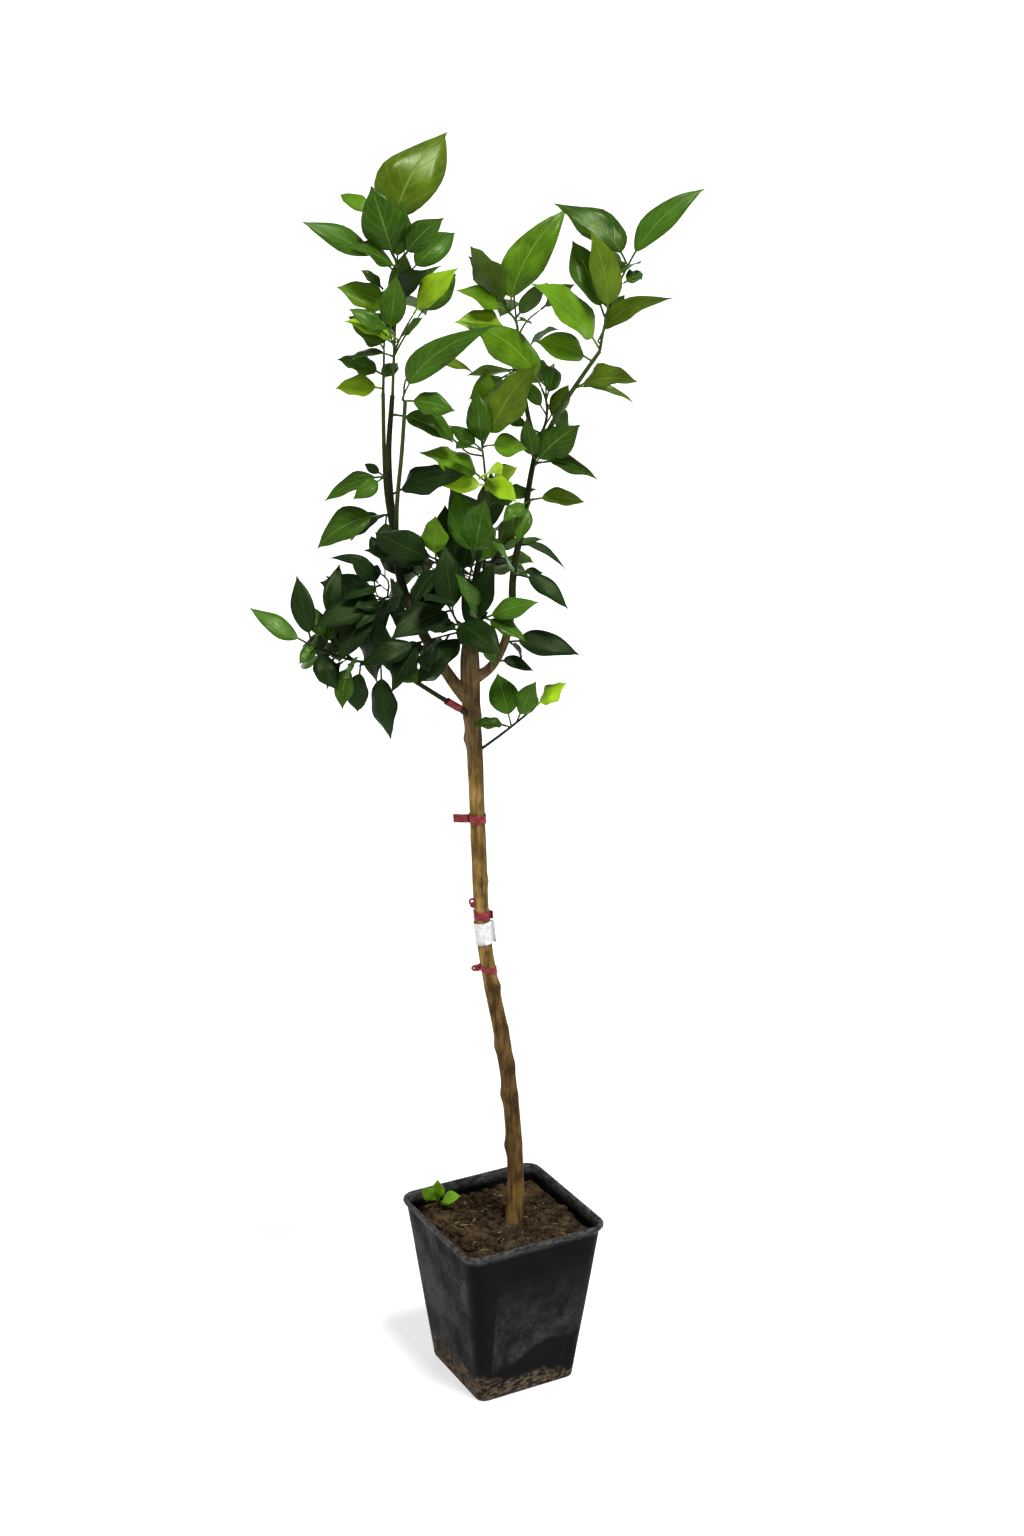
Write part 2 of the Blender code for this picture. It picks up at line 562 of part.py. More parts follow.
def main():
    clear_scene()
    limbs, shoots, leaves = grow()
    plant = make_limbs(limbs)
    plant += [make_mass(name, limbs, shoots, leaves) for name in MASSES]
    for name, (limb, at, tall, tab, color) in STRIPS.items():
        line = limbs[limb]
        strip = make_band(name, line, limb_radii(limb, line), at, tall * MM, tab * MM)
        paint(strip, color, 0.6)
        plant.append(strip)
    for thing in plant:
        thing.data.transform(Matrix.Rotation(TREE_TURN, 4, "Z"))
    paint(make_pot(), POT_COLOR, 0.55)
    paint(make_soil(), SOIL_COLOR, 0.95, 0.2)


main()
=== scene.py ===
# %% [markdown]
# A young lemon tree in a square nursery pot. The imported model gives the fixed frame: the pot, the
# soil, ten limbs and a node for each mass of leaves. This lesson dresses that frame. It grows the
# same shoots and leaves again by the same rule, gives them real blades and finer twigs, wraps the
# wood in bark and lets the pot get dusty.

# %% Load the frame
import json
import math
import random
from collections import namedtuple

import bmesh
import bpy
from mathutils import Matrix, Vector, noise
from mathutils.bvhtree import BVHTree

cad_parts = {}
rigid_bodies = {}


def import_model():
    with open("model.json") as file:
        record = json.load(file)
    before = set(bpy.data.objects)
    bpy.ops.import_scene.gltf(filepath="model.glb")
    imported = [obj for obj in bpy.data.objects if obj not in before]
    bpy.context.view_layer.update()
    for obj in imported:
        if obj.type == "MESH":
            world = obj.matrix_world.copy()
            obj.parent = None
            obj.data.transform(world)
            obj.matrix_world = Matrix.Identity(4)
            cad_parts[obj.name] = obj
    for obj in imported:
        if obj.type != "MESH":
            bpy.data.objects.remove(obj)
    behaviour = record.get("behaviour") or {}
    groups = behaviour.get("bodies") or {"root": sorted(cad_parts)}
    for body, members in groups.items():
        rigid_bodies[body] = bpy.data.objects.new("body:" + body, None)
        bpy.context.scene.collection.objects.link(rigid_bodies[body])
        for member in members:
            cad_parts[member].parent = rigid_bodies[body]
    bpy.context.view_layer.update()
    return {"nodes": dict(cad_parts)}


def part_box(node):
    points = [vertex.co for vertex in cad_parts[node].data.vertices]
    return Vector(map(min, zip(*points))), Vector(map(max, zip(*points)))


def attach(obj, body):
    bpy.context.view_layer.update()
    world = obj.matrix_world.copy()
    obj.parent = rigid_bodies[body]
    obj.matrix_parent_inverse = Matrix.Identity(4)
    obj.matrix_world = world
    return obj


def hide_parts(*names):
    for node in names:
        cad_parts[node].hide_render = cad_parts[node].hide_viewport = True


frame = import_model()
MM = 0.001
UP = Vector((0, 0, 1))
AWAY = Vector((0, 1, 0))
print("CAD nodes:", len(frame["nodes"]))

# %% [markdown]
# The camera stands at the photograph's viewpoint, a little higher than the tree's tip, and looks
# down. The plant is drawn in its own frame, x to the right and y away from this camera, and turned
# in its pot, so the camera turns by the same angle.

# %% Camera
TREE_TURN = math.radians(-28.4)
TURN = Matrix.Rotation(TREE_TURN, 3, "Z")
CAMERA_PLACE = Vector((0.0104, -2.131, 1.341))
CAMERA_PITCH = math.radians(17.05)
CAMERA_LENS = 51.56


def put(name, data):
    made = bpy.data.objects.new(name, data)
    bpy.context.scene.collection.objects.link(made)
    return made


camera = put("camera", bpy.data.cameras.new("camera"))
camera.data.lens = CAMERA_LENS
camera.data.sensor_width = 36
camera.location = TURN @ CAMERA_PLACE
camera.rotation_euler = (math.pi / 2 - CAMERA_PITCH, 0, TREE_TURN)
bpy.context.scene.camera = camera
print("camera height", round(camera.location.z, 3))

# %% [markdown]
# Each piece starts as a bmesh, is shaped with bmesh operators and ends here. Round shapes grow by
# one ring of edges after another. A plant piece is turned into the pot's frame, then the piece gets
# its materials, rides on the one body and hides the nodes it stands for.

# %% Helpers that grow and finish a piece
def next_ring(bm, edges):
    """Extrudes a ring of edges. Gives the new ring's points, still on the old ones, and its edges."""
    made = bmesh.ops.extrude_edge_only(bm, edges=edges)["geom"]
    ring = [item for item in made if isinstance(item, bmesh.types.BMVert)]
    return ring, [item for item in made if isinstance(item, bmesh.types.BMEdge)
                  and item.verts[0] in ring and item.verts[1] in ring]


def make_object(name, bm, materials):
    mesh = bpy.data.meshes.new(name)
    bm.to_mesh(mesh)
    bm.free()
    for material in materials:
        mesh.materials.append(material)
    mesh.shade_smooth()
    return put(name, mesh)


def finish_piece(name, bm, materials, replaced=(), turned=True):
    if turned:
        bmesh.ops.rotate(bm, cent=(0, 0, 0), matrix=TURN, verts=bm.verts)
    piece = make_object(name, bm, materials)
    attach(piece, "root")
    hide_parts(*replaced)
    print(name, sum(len(face.vertices) - 2 for face in piece.data.polygons), "triangles")


# %% [markdown]
# Every finish is a small node tree round one Principled shader. A few helpers keep them readable:
# the first starts a material with its plain values, and the others add nodes to the material that
# was started last, link or set their inputs, and feed the result to the shader.

# %% Helpers for materials
def new_material(name, color, roughness, specular=0.5, **more):
    global node_tree, shader
    material = bpy.data.materials.new(name)
    material.use_nodes = True
    node_tree = material.node_tree
    shader = node_tree.nodes["Principled BSDF"]
    values = {"Base Color": (*color, 1), "Roughness": roughness, "Specular IOR Level": specular}
    for socket, value in {**values, **more}.items():
        shader.inputs[socket.replace("_", " ")].default_value = value
    return material


def add(kind, inputs=None, **settings):
    """A new node. An input is linked where it is given another node's output, and set otherwise."""
    made = node_tree.nodes.new("ShaderNode" + kind)
    for setting, value in settings.items():
        setattr(made, setting, value)
    for socket, value in (inputs or {}).items():
        if isinstance(value, bpy.types.NodeSocket):
            node_tree.links.new(value, made.inputs[socket])
        else:
            made.inputs[socket].default_value = value
    return made


def feed(socket, value):
    node_tree.links.new(value, shader.inputs[socket])


def place_parts():
    """The x, y and z of a point on the piece, in metres."""
    return add("SeparateXYZ", {0: add("TexCoord").outputs["Object"]}).outputs


def mix(factor, a, b):
    """One colour over another: a at factor 0, b at factor 1."""
    colors = {6: a, 7: b}
    for socket, value in colors.items():
        if isinstance(value, tuple):
            colors[socket] = (*value, 1)
    return add("Mix", {0: factor, **colors}, data_type="RGBA").outputs[2]


def spots(scale, detail=4, stretch=(1, 1, 1), rough=0.55, place=(0, 0, 0)):
    """Noise on the object's own coordinates, in metres, stretched along an axis."""
    where = add("Mapping", {"Vector": add("TexCoord").outputs["Object"], "Location": place, "Scale": stretch})
    return add("TexNoise", {"Vector": where.outputs[0], "Scale": scale, "Detail": detail,
                            "Roughness": rough}).outputs["Fac"]


def span(value, low, high, to_low=0.0, to_high=1.0):
    """The value's stretch from low to high, spread over another stretch and held at its ends."""
    return add("MapRange", {"Value": value, "From Min": low, "From Max": high,
                            "To Min": to_low, "To Max": to_high}).outputs[0]


def calc(operation, a, b=0.0):
    return add("Math", {0: a, 1: b}, operation=operation).outputs[0]


def times(first, *others):
    for other in others:
        first = calc("MULTIPLY", first, other)
    return first


def plus(first, *others):
    for other in others:
        first = calc("ADD", first, other)
    return first


def relief(height, depth):
    """Bumps as deep as given, in metres."""
    feed("Normal", add("Bump", {"Height": height, "Distance": depth, "Strength": 1.0}).outputs[0])


print("materials so far:", len(bpy.data.materials))

# %% [markdown]
# The limbs of the real tree are few: a leaning trunk, boughs that leave it near its top and thin
# branches on those. Each is a smooth line through a few places with two end radii, as in the
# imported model. The first place of a bough lies on its parent's line. Curve objects could carry
# them too, but plain lists of places also serve the shoots and the tests for what touches.

# %% The limbs
Limb = namedtuple("Limb", "parent at points thick thin sides")
LIMBS = {
    "trunk": Limb(None, 0, [
        (13, 0, 168), (14, 0, 240), (9, 0, 320), (1, 0, 385), (-11, 0, 450), (-20, 0, 515),
        (-24, 0, 610), (-27, 0, 700), (-31, 0, 760), (-32, 0, 825)], 8.8, 8.4, 10),
    "bough_left": Limb("trunk", 0.90, [
        (-50, -6, 782), (-80, -12, 835), (-99, 5, 878), (-107, 12, 935), (-110, 10, 1000),
        (-105, 5, 1062)], 6.4, 2.3, 8),
    "branch_twin": Limb("bough_left", 0.56, [
        (-113, 18, 962), (-115, 22, 1005), (-115, 22, 1062)], 1.9, 1.6, 6),
    "branch_front": Limb("bough_left", 0.51, [
        (-102, -3, 955), (-96, -10, 1010), (-92, -12, 1058)], 1.9, 1.6, 6),
    "bough_low": Limb("trunk", 0.872, [
        (-45, -14, 756), (-60, -18, 766), (-92, -22, 788), (-116, -22, 802)], 2.4, 1.7, 6),
    "bough_right": Limb("trunk", 0.93, [
        (-11, -8, 795), (3, -14, 822), (10, -14, 856), (11, -10, 880), (14, -5, 905), (22, 0, 940),
        (28, 5, 980), (36, 8, 1020)], 4.8, 2.4, 8),
    "bough_centre": Limb("trunk", 1.0, [(-29, 6, 850), (-24, 16, 888), (-14, 20, 928)], 5.2, 2.4, 8),
    "bough_back": Limb("trunk", 0.97, [(-26, 35, 822), (-21, 70, 852)], 4.2, 2.6, 6),
    "branch_mid": Limb("bough_right", 0.97, [(27, 18, 1036), (21, 27, 1070), (16, 30, 1114)], 2.1, 1.6, 6),
    "branch_right": Limb("bough_right", 0.93, [(54, -4, 1045), (72, -8, 1074), (94, -10, 1106)], 2.2, 1.6, 6),
}
TRUNK_FLARE = 2.2 * MM
TRUNK_FLARE_HEIGHT = 30 * MM
TRUNK_WAIST = 1.0 * MM
FORK_SWELL = 1.4 * MM
FORK_AT = 0.93
FORK_SPREAD = 0.08


def through(points, steps=3):
    """A smooth line through the points."""
    ends = [points[0] * 2 - points[1], *points, points[-1] * 2 - points[-2]]
    line = []
    for before, here, there, after in zip(ends, ends[1:], ends[2:], ends[3:]):
        for i in range(steps):
            t = i / steps
            line.append((here * 2 + (there - before) * t
                         + (before * 2 - here * 5 + there * 4 - after) * t ** 2
                         + (here * 3 - before - there * 3 + after) * t ** 3) * 0.5)
    return line + [points[-1]]


def place_on(line, share):
    """The place this share of the way along the line, and the line's direction there."""
    spans = [(b - a).length for a, b in zip(line, line[1:])]
    left = share * sum(spans)
    for a, b, span in zip(line, line[1:], spans):
        if left <= span * 1.00001:
            break
        left -= span
    return a.lerp(b, min(left / span, 1)), (b - a).normalized()


def limb_line(name, lines, steps=3):
    limb = LIMBS[name]
    points = [Vector(point) * MM for point in limb.points]
    if limb.parent:
        points.insert(0, place_on(lines[limb.parent], limb.at)[0])
    return through(points, steps)


def limb_radii(name, line):
    """Radii that taper. The trunk also flares at its foot, has a waist and swells at its fork."""
    limb = LIMBS[name]
    radii = []
    for i, place in enumerate(line):
        share = i / (len(line) - 1)
        radius = (limb.thick + (limb.thin - limb.thick) * share) * MM
        if name == "trunk":
            radius -= TRUNK_WAIST * math.sin(math.pi * share) ** 2
            radius += TRUNK_FLARE * math.exp(-(place.z - line[0].z) / TRUNK_FLARE_HEIGHT)
            radius += FORK_SWELL * math.exp(-((share - FORK_AT) / FORK_SPREAD) ** 2)
        radii.append(radius)
    return radii


print("limbs:", len(LIMBS))

# %% [markdown]
# A mass of leaves starts as a stem on its limb, with side shoots on the stem. The table gives each
# shoot's place, reach, direction and leaves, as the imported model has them. It is quicker to set
# against the real tree than leaves placed one by one. The foliage of one shoot has one age, and so
# one tone of green: each mass has a letter for each of its shoots, D deep, M middle, F fresh, L
# lime or O olive.

# %% The masses of leaves
Shoot = namedtuple("Shoot", "at reach clock away bend leaves size wide", defaults=(1,))
MASSES = {
    "left_top": ("bough_left", 300, "MOMMFMMFMLMMMD", [
        (1.00, 125, 87, 0, 0, 5, 58), (1.00, 30, 99, 8, 36, 1, 111, 1.3),
        (0.97, 8, 106, -14, 0, 1, 72, 1.35), (0.92, 20, 140, -8, -10, 1, 82, 0.7),
        (1.00, 54, 122, 22, -12, 1, 46, 0.8), (0.92, 18, 66, -15, 14, 2, 54, 1.3),
        (0.80, 22, 52, 12, 10, 1, 64, 1.2), (0.65, 3, 150, -15, 0, 1, 58, 1.4),
        (0.39, 2, 140, -15, 0, 1, 50, 1.5), (0.33, 44, 62, -14, 8, 2, 62, 1.2),
        (0.30, 46, 57, 16, 8, 1, 60, 1.1), (0.58, 46, 82, 62, 0, 3, 54), (0.36, 40, 96, -62, 0, 3, 52),
        (0.72, 5, 66, -40, 10, 1, 46, 1.1)]),
    "left_twin": ("branch_twin", 110, "MML", [
        (1.00, 44, 88, 5, 0, 3, 44), (0.40, 2, 150, -12, 0, 1, 46, 1.5),
        (0.10, 2, 168, -10, 0, 1, 46, 1.5)]),
    "left_front": ("branch_front", 150, "MOM", [
        (1.00, 8, 98, -10, 58, 1, 96, 0.85), (0.90, 42, 54, 12, 60, 1, 42), (0.10, 3, 14, -20, 20, 1, 50)]),
    "left_shelf": ("bough_left", 80, "M", [(0.94, 8, 4, -15, 20, 1, 60)]),
    "left_side": ("bough_left", 90, "MMD", [
        (0.75, 7, 166, -5, -30, 1, 60), (0.70, 5, 208, -40, 0, 1, 36), (0.60, 5, 150, 20, 0, 1, 22)]),
    "left_mid": ("bough_left", 100, "MDD", [
        (0.635, 12, 173, -15, -20, 1, 72), (0.55, 3, 204, 30, -10, 1, 54, 1.3),
        (0.48, 6, 265, -50, 0, 1, 40)]),
    "left_in": ("bough_left", 100, "D", [(0.695, 5, 44, -24, 20, 1, 84)]),
    "crown_light": ("bough_centre", 200, "MOFFMLMFL", [
        (1.00, 88, 93, -15, -6, 3, 56), (1.00, 5, 71, -8, 10, 1, 92, 1.15),
        (0.58, 5, 129, -15, -15, 1, 70, 1.15), (1.00, 8, 20, -20, 20, 1, 38, 1.3),
        (0.97, 5, 140, 0, 0, 1, 36), (0.56, 10, 40, -40, 0, 1, 34, 1.3), (0.90, 32, 150, -20, 30, 1, 44),
        (1.00, 22, 88, 25, 0, 1, 62), (0.50, 44, 88, -64, 0, 3, 56)]),
    "mid_top": ("branch_mid", 150, "OFFOLMM", [
        (1.00, 30, 110, 0, -30, 1, 76), (0.80, 5, 113, -12, 56, 1, 102, 0.95),
        (0.88, 6, 150, -25, 0, 1, 54), (0.92, 6, 114, 25, 0, 1, 62), (0.05, 10, 141, -25, -15, 1, 60),
        (0.05, 36, 48, 15, 20, 1, 40), (0.40, 46, 96, 62, 0, 3, 54)]),
    "mid_low": ("bough_right", 170, "FMMMOM", [
        (1.00, 54, 88, -1, -48, 1, 90, 1.1), (0.70, 5, 72, 35, 0, 1, 50), (0.45, 8, 120, -20, 0, 1, 36),
        (0.10, 12, 150, -10, 0, 1, 38), (0.25, 8, 56, 25, 0, 1, 46), (0.50, 44, 92, 60, 0, 3, 54)]),
    "mid_back": ("branch_mid", 100, "OMM", [
        (0.72, 6, 182, 34, -20, 1, 52), (0.50, 14, 210, 20, 0, 1, 46), (0.60, 24, 60, 45, 0, 2, 50)]),
    "right_top": ("branch_right", 220, "MMMOMOFM", [
        (1.00, 86, 72, 0, 18, 1, 102, 0.55), (0.95, 5, 94, 10, -40, 1, 86),
        (0.34, 5, 110, 12, 0, 1, 80, 1.2), (0.34, 6, 78, -12, -20, 1, 80), (0.40, 5, 70, 60, 0, 1, 54),
        (0.08, 8, 102, -20, 70, 1, 86, 0.7), (0.00, 4, 109, -20, -20, 1, 96, 1.15),
        (0.56, 46, 84, 62, 0, 3, 58)]),
    "right_fork": ("branch_right", 100, "OO", [
        (0.62, 8, 44, -32, 20, 1, 68), (0.76, 8, 12, -10, 16, 1, 52, 0.4)]),
    "right_light": ("branch_right", 90, "F", [(0.90, 4, 140, -25, -10, 1, 60, 1.35)]),
    "right_low": ("bough_right", 110, "MMM", [
        (0.885, 15, 33, -15, 40, 1, 54), (0.30, 3, 72, -30, 24, 1, 60, 1.15),
        (0.45, 6, 105, -30, 0, 1, 46)]),
    "right_shelf": ("bough_right", 90, "OMM", [
        (0.76, 10, 18, 10, 20, 1, 48), (0.45, 6, 250, -40, 0, 1, 42), (0.50, 8, 200, -50, 0, 1, 36)]),
    "right_hook": ("bough_right", 80, "D", [(0.58, 8, 44, 0, 70, 1, 42, 0.6)]),
    "right_side": ("bough_right", 100, "DMD", [
        (0.475, 10, 14, -20, 40, 1, 54), (0.50, 12, 120, -50, 40, 1, 46), (0.60, 6, 20, 30, 20, 1, 24)]),
    "right_wing": ("bough_right", 100, "DD", [
        (0.22, 6, 18, -10, 20, 1, 70), (0.60, 5, -30, 35, 20, 1, 28)]),
    "right_foot": ("bough_right", 80, "D", [(0.12, 8, 24, 10, 40, 1, 34)]),
    "low_right": ("trunk", 130, "LMMM", [
        (0.815, 84, 41, -10, -6, 1, 38, 1.3), (0.66, 6, 70, -20, 0, 1, 46, 1.4),
        (0.58, 6, 104, 15, 0, 1, 52, 1.3), (0.56, 5, 152, -20, -10, 1, 36)]),
    "low_left": ("bough_low", 180, "MDDDDDMD", [
        (1.00, 82, 162, -8, 24, 2, 64, 0.7), (0.90, 5, 104, 5, 0, 1, 66, 0.8),
        (0.36, 46, 117, 0, 40, 2, 56, 0.9), (0.88, 5, 300, -20, 0, 1, 44, 1.3),
        (0.28, 6, 262, -5, 0, 1, 50, 1.1), (0.04, 6, 272, -15, 0, 1, 72), (0.06, 6, -10, -30, 0, 1, 48),
        (0.40, 44, 150, 62, 0, 3, 46)]),
    "left_cloud": ("bough_left", 140, "DDD", [
        (0.40, 34, 186, -35, 0, 5, 68), (0.60, 33, 112, 0, -50, 1, 44, 0.6),
        (0.40, 40, 225, -10, 0, 4, 64)]),
    "front_cloud": ("trunk", 158, "DDM", [
        (0.985, 85, 108, -50, 0, 7, 72), (0.40, 44, 190, -20, 0, 4, 66), (0.45, 30, 30, -20, 0, 4, 56)]),
    "top_cloud": ("bough_centre", 140, "DMDF", [
        (0.48, 54, 146, -24, 0, 6, 68), (0.15, 32, 80, -30, 0, 3, 70, 1.25), (0.55, 36, 190, 12, 0, 3, 58),
        (0.92, 6, 95, -10, 0, 2, 42, 1.5)]),
    "seedling": (None, 60, "FFF", [
        (1.00, 16, 92, -10, 0, 1, 27, 1.5), (0.90, 3, 132, -20, 0, 1, 25, 1.3),
        (0.75, 3, 40, -20, 0, 1, 25, 1.4)]),
    "back_cloud": ("bough_back", 150, "DDM", [
        (1.00, 62, 84, 30, 0, 5, 70), (0.25, 50, 158, 10, 0, 4, 68), (0.30, 30, 60, 15, 0, 4, 54)]),
}
MASSES = {name: (limb, room, tones, [Shoot(*row) for row in rows])
          for name, (limb, room, tones, rows) in MASSES.items()}
STEM_RADII = (1.6, 1.1)
SPUR_RADII = (1.1, 0.8)
SOIL_TOP = 0.1745
SEEDLING_FOOT = (-0.069, 0.028, SOIL_TOP - 4 * MM)
print("masses:", len(MASSES), "shoots:", sum(len(mass[3]) for mass in MASSES.values()))

# %% [markdown]
# Leaves sit on a shoot in a spiral, as a lemon's do, and turn their faces up and outwards. The one
# at the shoot's end goes on in its direction. All that varies is seeded, so the rule gives the
# same leaves each time.

# %% The rule that grows the leaves
SPIRAL = 135
TURN_ON = 50
BARE_FOOT = 0.3
LAST_SIDE_LEAF = 0.96
STEP_LENGTH = 15
FOOT_PITCH = 74
PITCH_FALL = 34
STALK = 0.12
STALK_WIDTH = 0.0016
BASE_ROUND = 0.85
TIP_ROUND = 1.25
WIDEST = BASE_ROUND / (BASE_ROUND + TIP_ROUND)
BLADE_STATIONS = (0.26, 0.48, 0.74)
BLADE_THICK = 0.014
TRIES = 5
SPARE = 0.0008

Leaf = namedtuple("Leaf", "base heading upper length width arch fold bow")


def aim(clock, away):
    """A direction from its angle in the plant's front plane and its angle out of that plane."""
    c, a = math.radians(clock), math.radians(away)
    return Vector((math.cos(c) * math.cos(a), math.sin(a), math.sin(c) * math.cos(a)))


def shoot_line(start, shoot):
    """A shoot's centre line, in two to six steps."""
    steps = max(2, min(6, round(shoot.reach / STEP_LENGTH)))
    line = [start]
    for i in range(steps):
        clock = shoot.clock + shoot.bend * (0.5 - i / (steps - 1))
        line.append(line[-1] + aim(clock, shoot.away) * (shoot.reach * MM / steps))
    return line


def new_leaf(line, share, turn, shoot, rng):
    """A leaf at this share of a shoot. The last one goes on in the shoot's own direction and bend."""
    base, along = place_on(line, share)
    side = AWAY.cross(along).normalized()
    across = along.cross(side)
    outward = side * math.cos(turn) + across * math.sin(turn)
    pitch = math.radians(FOOT_PITCH - PITCH_FALL * share + rng.uniform(-12, 12)) if share < 1 else 0
    heading = (along * math.cos(pitch) + outward * math.sin(pitch)).normalized()
    light = AWAY * (0.7 if base.y > 0.03 else -0.7)
    face = along * math.sin(pitch) + UP * 0.7 + light + side * rng.uniform(-0.4, 0.4)
    upper = (face - heading * face.dot(heading)).normalized()
    length = shoot.size * MM * (1 if share == 1 else rng.uniform(0.85, 1.15))
    bow = shoot.bend / 100 if share == 1 else rng.uniform(-0.12, 0.12)
    return Leaf(base, heading, upper, length, length * shoot.wide * rng.uniform(0.42, 0.54),
                math.radians(rng.uniform(8, 40)), math.radians(rng.uniform(12, 34)), bow)


print("angle between one leaf and the next:", SPIRAL, "degrees")

# %% [markdown]
# A lemon leaf is widest a little below its middle and drawn out to a point, and one short formula
# gives that outline. Its midrib is an arc. The test for what touches needs solids, but coarse ones
# are enough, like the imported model's: a folded blade with four corners at each station, and a tube
# with flat sides for a twig.

# %% Outline, midrib and coarse solids
def half_width(leaf, share):
    """Half the blade's width at this share of the leaf's length."""
    t = (share - STALK) / (1 - STALK)
    peak = WIDEST ** BASE_ROUND * (1 - WIDEST) ** TIP_ROUND
    return max(STALK_WIDTH / 2, leaf.width / 2 * t ** BASE_ROUND * (1 - t) ** TIP_ROUND / peak)


def midrib(leaf, share):
    """A place on the midrib and the upper normal there: the midrib is one arc, bowed to one side."""
    turned = leaf.arch * share
    place = leaf.base + (leaf.heading * math.sin(turned)
                         + leaf.upper * (math.cos(turned) - 1)) * (leaf.length / leaf.arch)
    place += leaf.heading.cross(leaf.upper) * (leaf.bow * leaf.length * share ** 2)
    return place, leaf.upper * math.cos(turned) + leaf.heading * math.sin(turned)


def leaf_shape(leaf, root=-0.01, spare=0.0):
    """Points and faces of a leaf. The spare thickens it all round for a test of what it touches."""
    across = leaf.heading.cross(leaf.upper)
    points = []
    stations = [(root, STALK_WIDTH / 2), (STALK, STALK_WIDTH / 2)]
    stations += [(share, half_width(leaf, share)) for share in BLADE_STATIONS]
    for share, wide in stations:
        place, normal = midrib(leaf, share)
        fold = leaf.fold if share > STALK else 0
        wide += spare
        thick = max(leaf.length * BLADE_THICK, STALK_WIDTH * (share <= STALK)) / 2 + spare
        reach = across * (math.cos(fold) * wide)
        lift = normal * (math.sin(fold) * wide)
        points += [place + reach + lift, place + normal * thick, place - reach + lift, place - normal * thick]
    points.append(midrib(leaf, 1)[0])
    faces = [(0, 1, 2, 3)]
    for ring in range(len(stations) - 1):
        for i in range(4):
            a, b = ring * 4 + i, ring * 4 + (i + 1) % 4
            faces += [(b, a, a + 4), (b, a + 4, b + 4)]
    last = len(points) - 5
    faces += [(last + (i + 1) % 4, last + i, last + 4) for i in range(4)]
    return points, faces


def across_line(line):
    """At each place of a line, two directions across it that don't twist along the way."""
    side = None
    for i in range(len(line)):
        ahead = (line[min(i + 1, len(line) - 1)] - line[max(i - 1, 0)]).normalized()
        side = side or AWAY.cross(ahead)
        side = (side - ahead * side.dot(ahead)).normalized()
        yield side, ahead.cross(side)


def tube_shape(line, radii, sides):
    """Points and faces of a closed limb about its centre line."""
    points = []
    for centre, radius, (side, across) in zip(line, radii, across_line(line)):
        for k in range(sides):
            angle = 2 * math.pi * k / sides
            points.append(centre + (side * math.cos(angle) + across * math.sin(angle)) * radius)
    faces = [tuple(reversed(range(sides)))]
    for ring in range(len(line) - 1):
        for k in range(sides):
            a, b = ring * sides + k, ring * sides + (k + 1) % sides
            faces.append((a, b, b + sides, a + sides))
    faces.append(tuple(range((len(line) - 1) * sides, len(line) * sides)))
    return points, faces


print("a leaf is widest at", round(WIDEST, 2), "of its blade")

# %% [markdown]
# Growing takes two rounds. The leaf at each shoot's end comes first, because these leaves make the
# outline, and the leaves along the shoots then take the room that is left. A leaf that would touch
# a limb, a twig or another leaf is turned on round its shoot, and left out if it still does.

# %% Grow the limbs, shoots and leaves
def shoot_radii(line, ends):
    """Radii from one end to the other, in metres."""
    return [(ends[0] + (ends[1] - ends[0]) * i / (len(line) - 1)) * MM for i in range(len(line))]


def stem_foot(name, limbs):
    """Where a mass's stem starts: on its limb, or on the soil."""
    limb, room, tones, rows = MASSES[name]
    return place_on(limbs[limb], rows[0].at)[0] if limb else Vector(SEEDLING_FOOT)


def has_room(leaf, placed):
    """Tests a leaf's place, and adds the leaf to what is placed where it touches nothing."""
    test = BVHTree.FromPolygons(*leaf_shape(leaf, root=0.09, spare=SPARE))
    free = not any(test.overlap(other) for other in placed)
    if free:
        placed.append(BVHTree.FromPolygons(*leaf_shape(leaf)))
    return free


def grow():
    """Centre lines of the limbs and shoots, and each mass's leaves with their shoot's number."""
    limbs = {}
    for name in LIMBS:
        limbs[name] = limb_line(name, limbs)
    shoots = {}
    placed = [BVHTree.FromPolygons(*tube_shape(line, limb_radii(name, line), LIMBS[name].sides))
              for name, line in limbs.items()]
    for name, (limb, room, tones, rows) in MASSES.items():
        stem = shoot_line(stem_foot(name, limbs), rows[0])
        shoots[name] = [stem] + [shoot_line(place_on(stem, row.at)[0], row) for row in rows[1:]]
        for line in shoots[name]:
            radii = shoot_radii(line, STEM_RADII if line is stem else SPUR_RADII)
            placed.append(BVHTree.FromPolygons(*tube_shape(line, radii, 5)))
    leaves = {name: [] for name in MASSES}
    for ends_first in (True, False):
        for name, (limb, room, tones, rows) in MASSES.items():
            for number, (row, line) in enumerate(zip(rows, shoots[name])):
                rng = random.Random(f"{name} {number} {ends_first}")
                turn = rng.uniform(0, 2 * math.pi)
                for i in range(row.leaves - 1, row.leaves) if ends_first else range(row.leaves - 1):
                    along = (LAST_SIDE_LEAF - BARE_FOOT) * i / max(row.leaves - 2, 1)
                    share = 1 if ends_first else BARE_FOOT + along
                    for go in range(TRIES):
                        turn += math.radians(TURN_ON if go else SPIRAL + rng.uniform(-20, 20))
                        leaf = new_leaf(line, share, turn, row, rng)
                        far = max((midrib(leaf, s)[0] - shoots[name][0][0]).length for s in (0.5, 1))
                        if far < room * MM and has_room(leaf, placed):
                            leaves[name].append((leaf, number))
                            break
    return limbs, shoots, leaves, placed


limbs, shoots, leaves, placed = grow()
print("leaves by the source's rule:", sum(len(grown) for grown in leaves.values()))

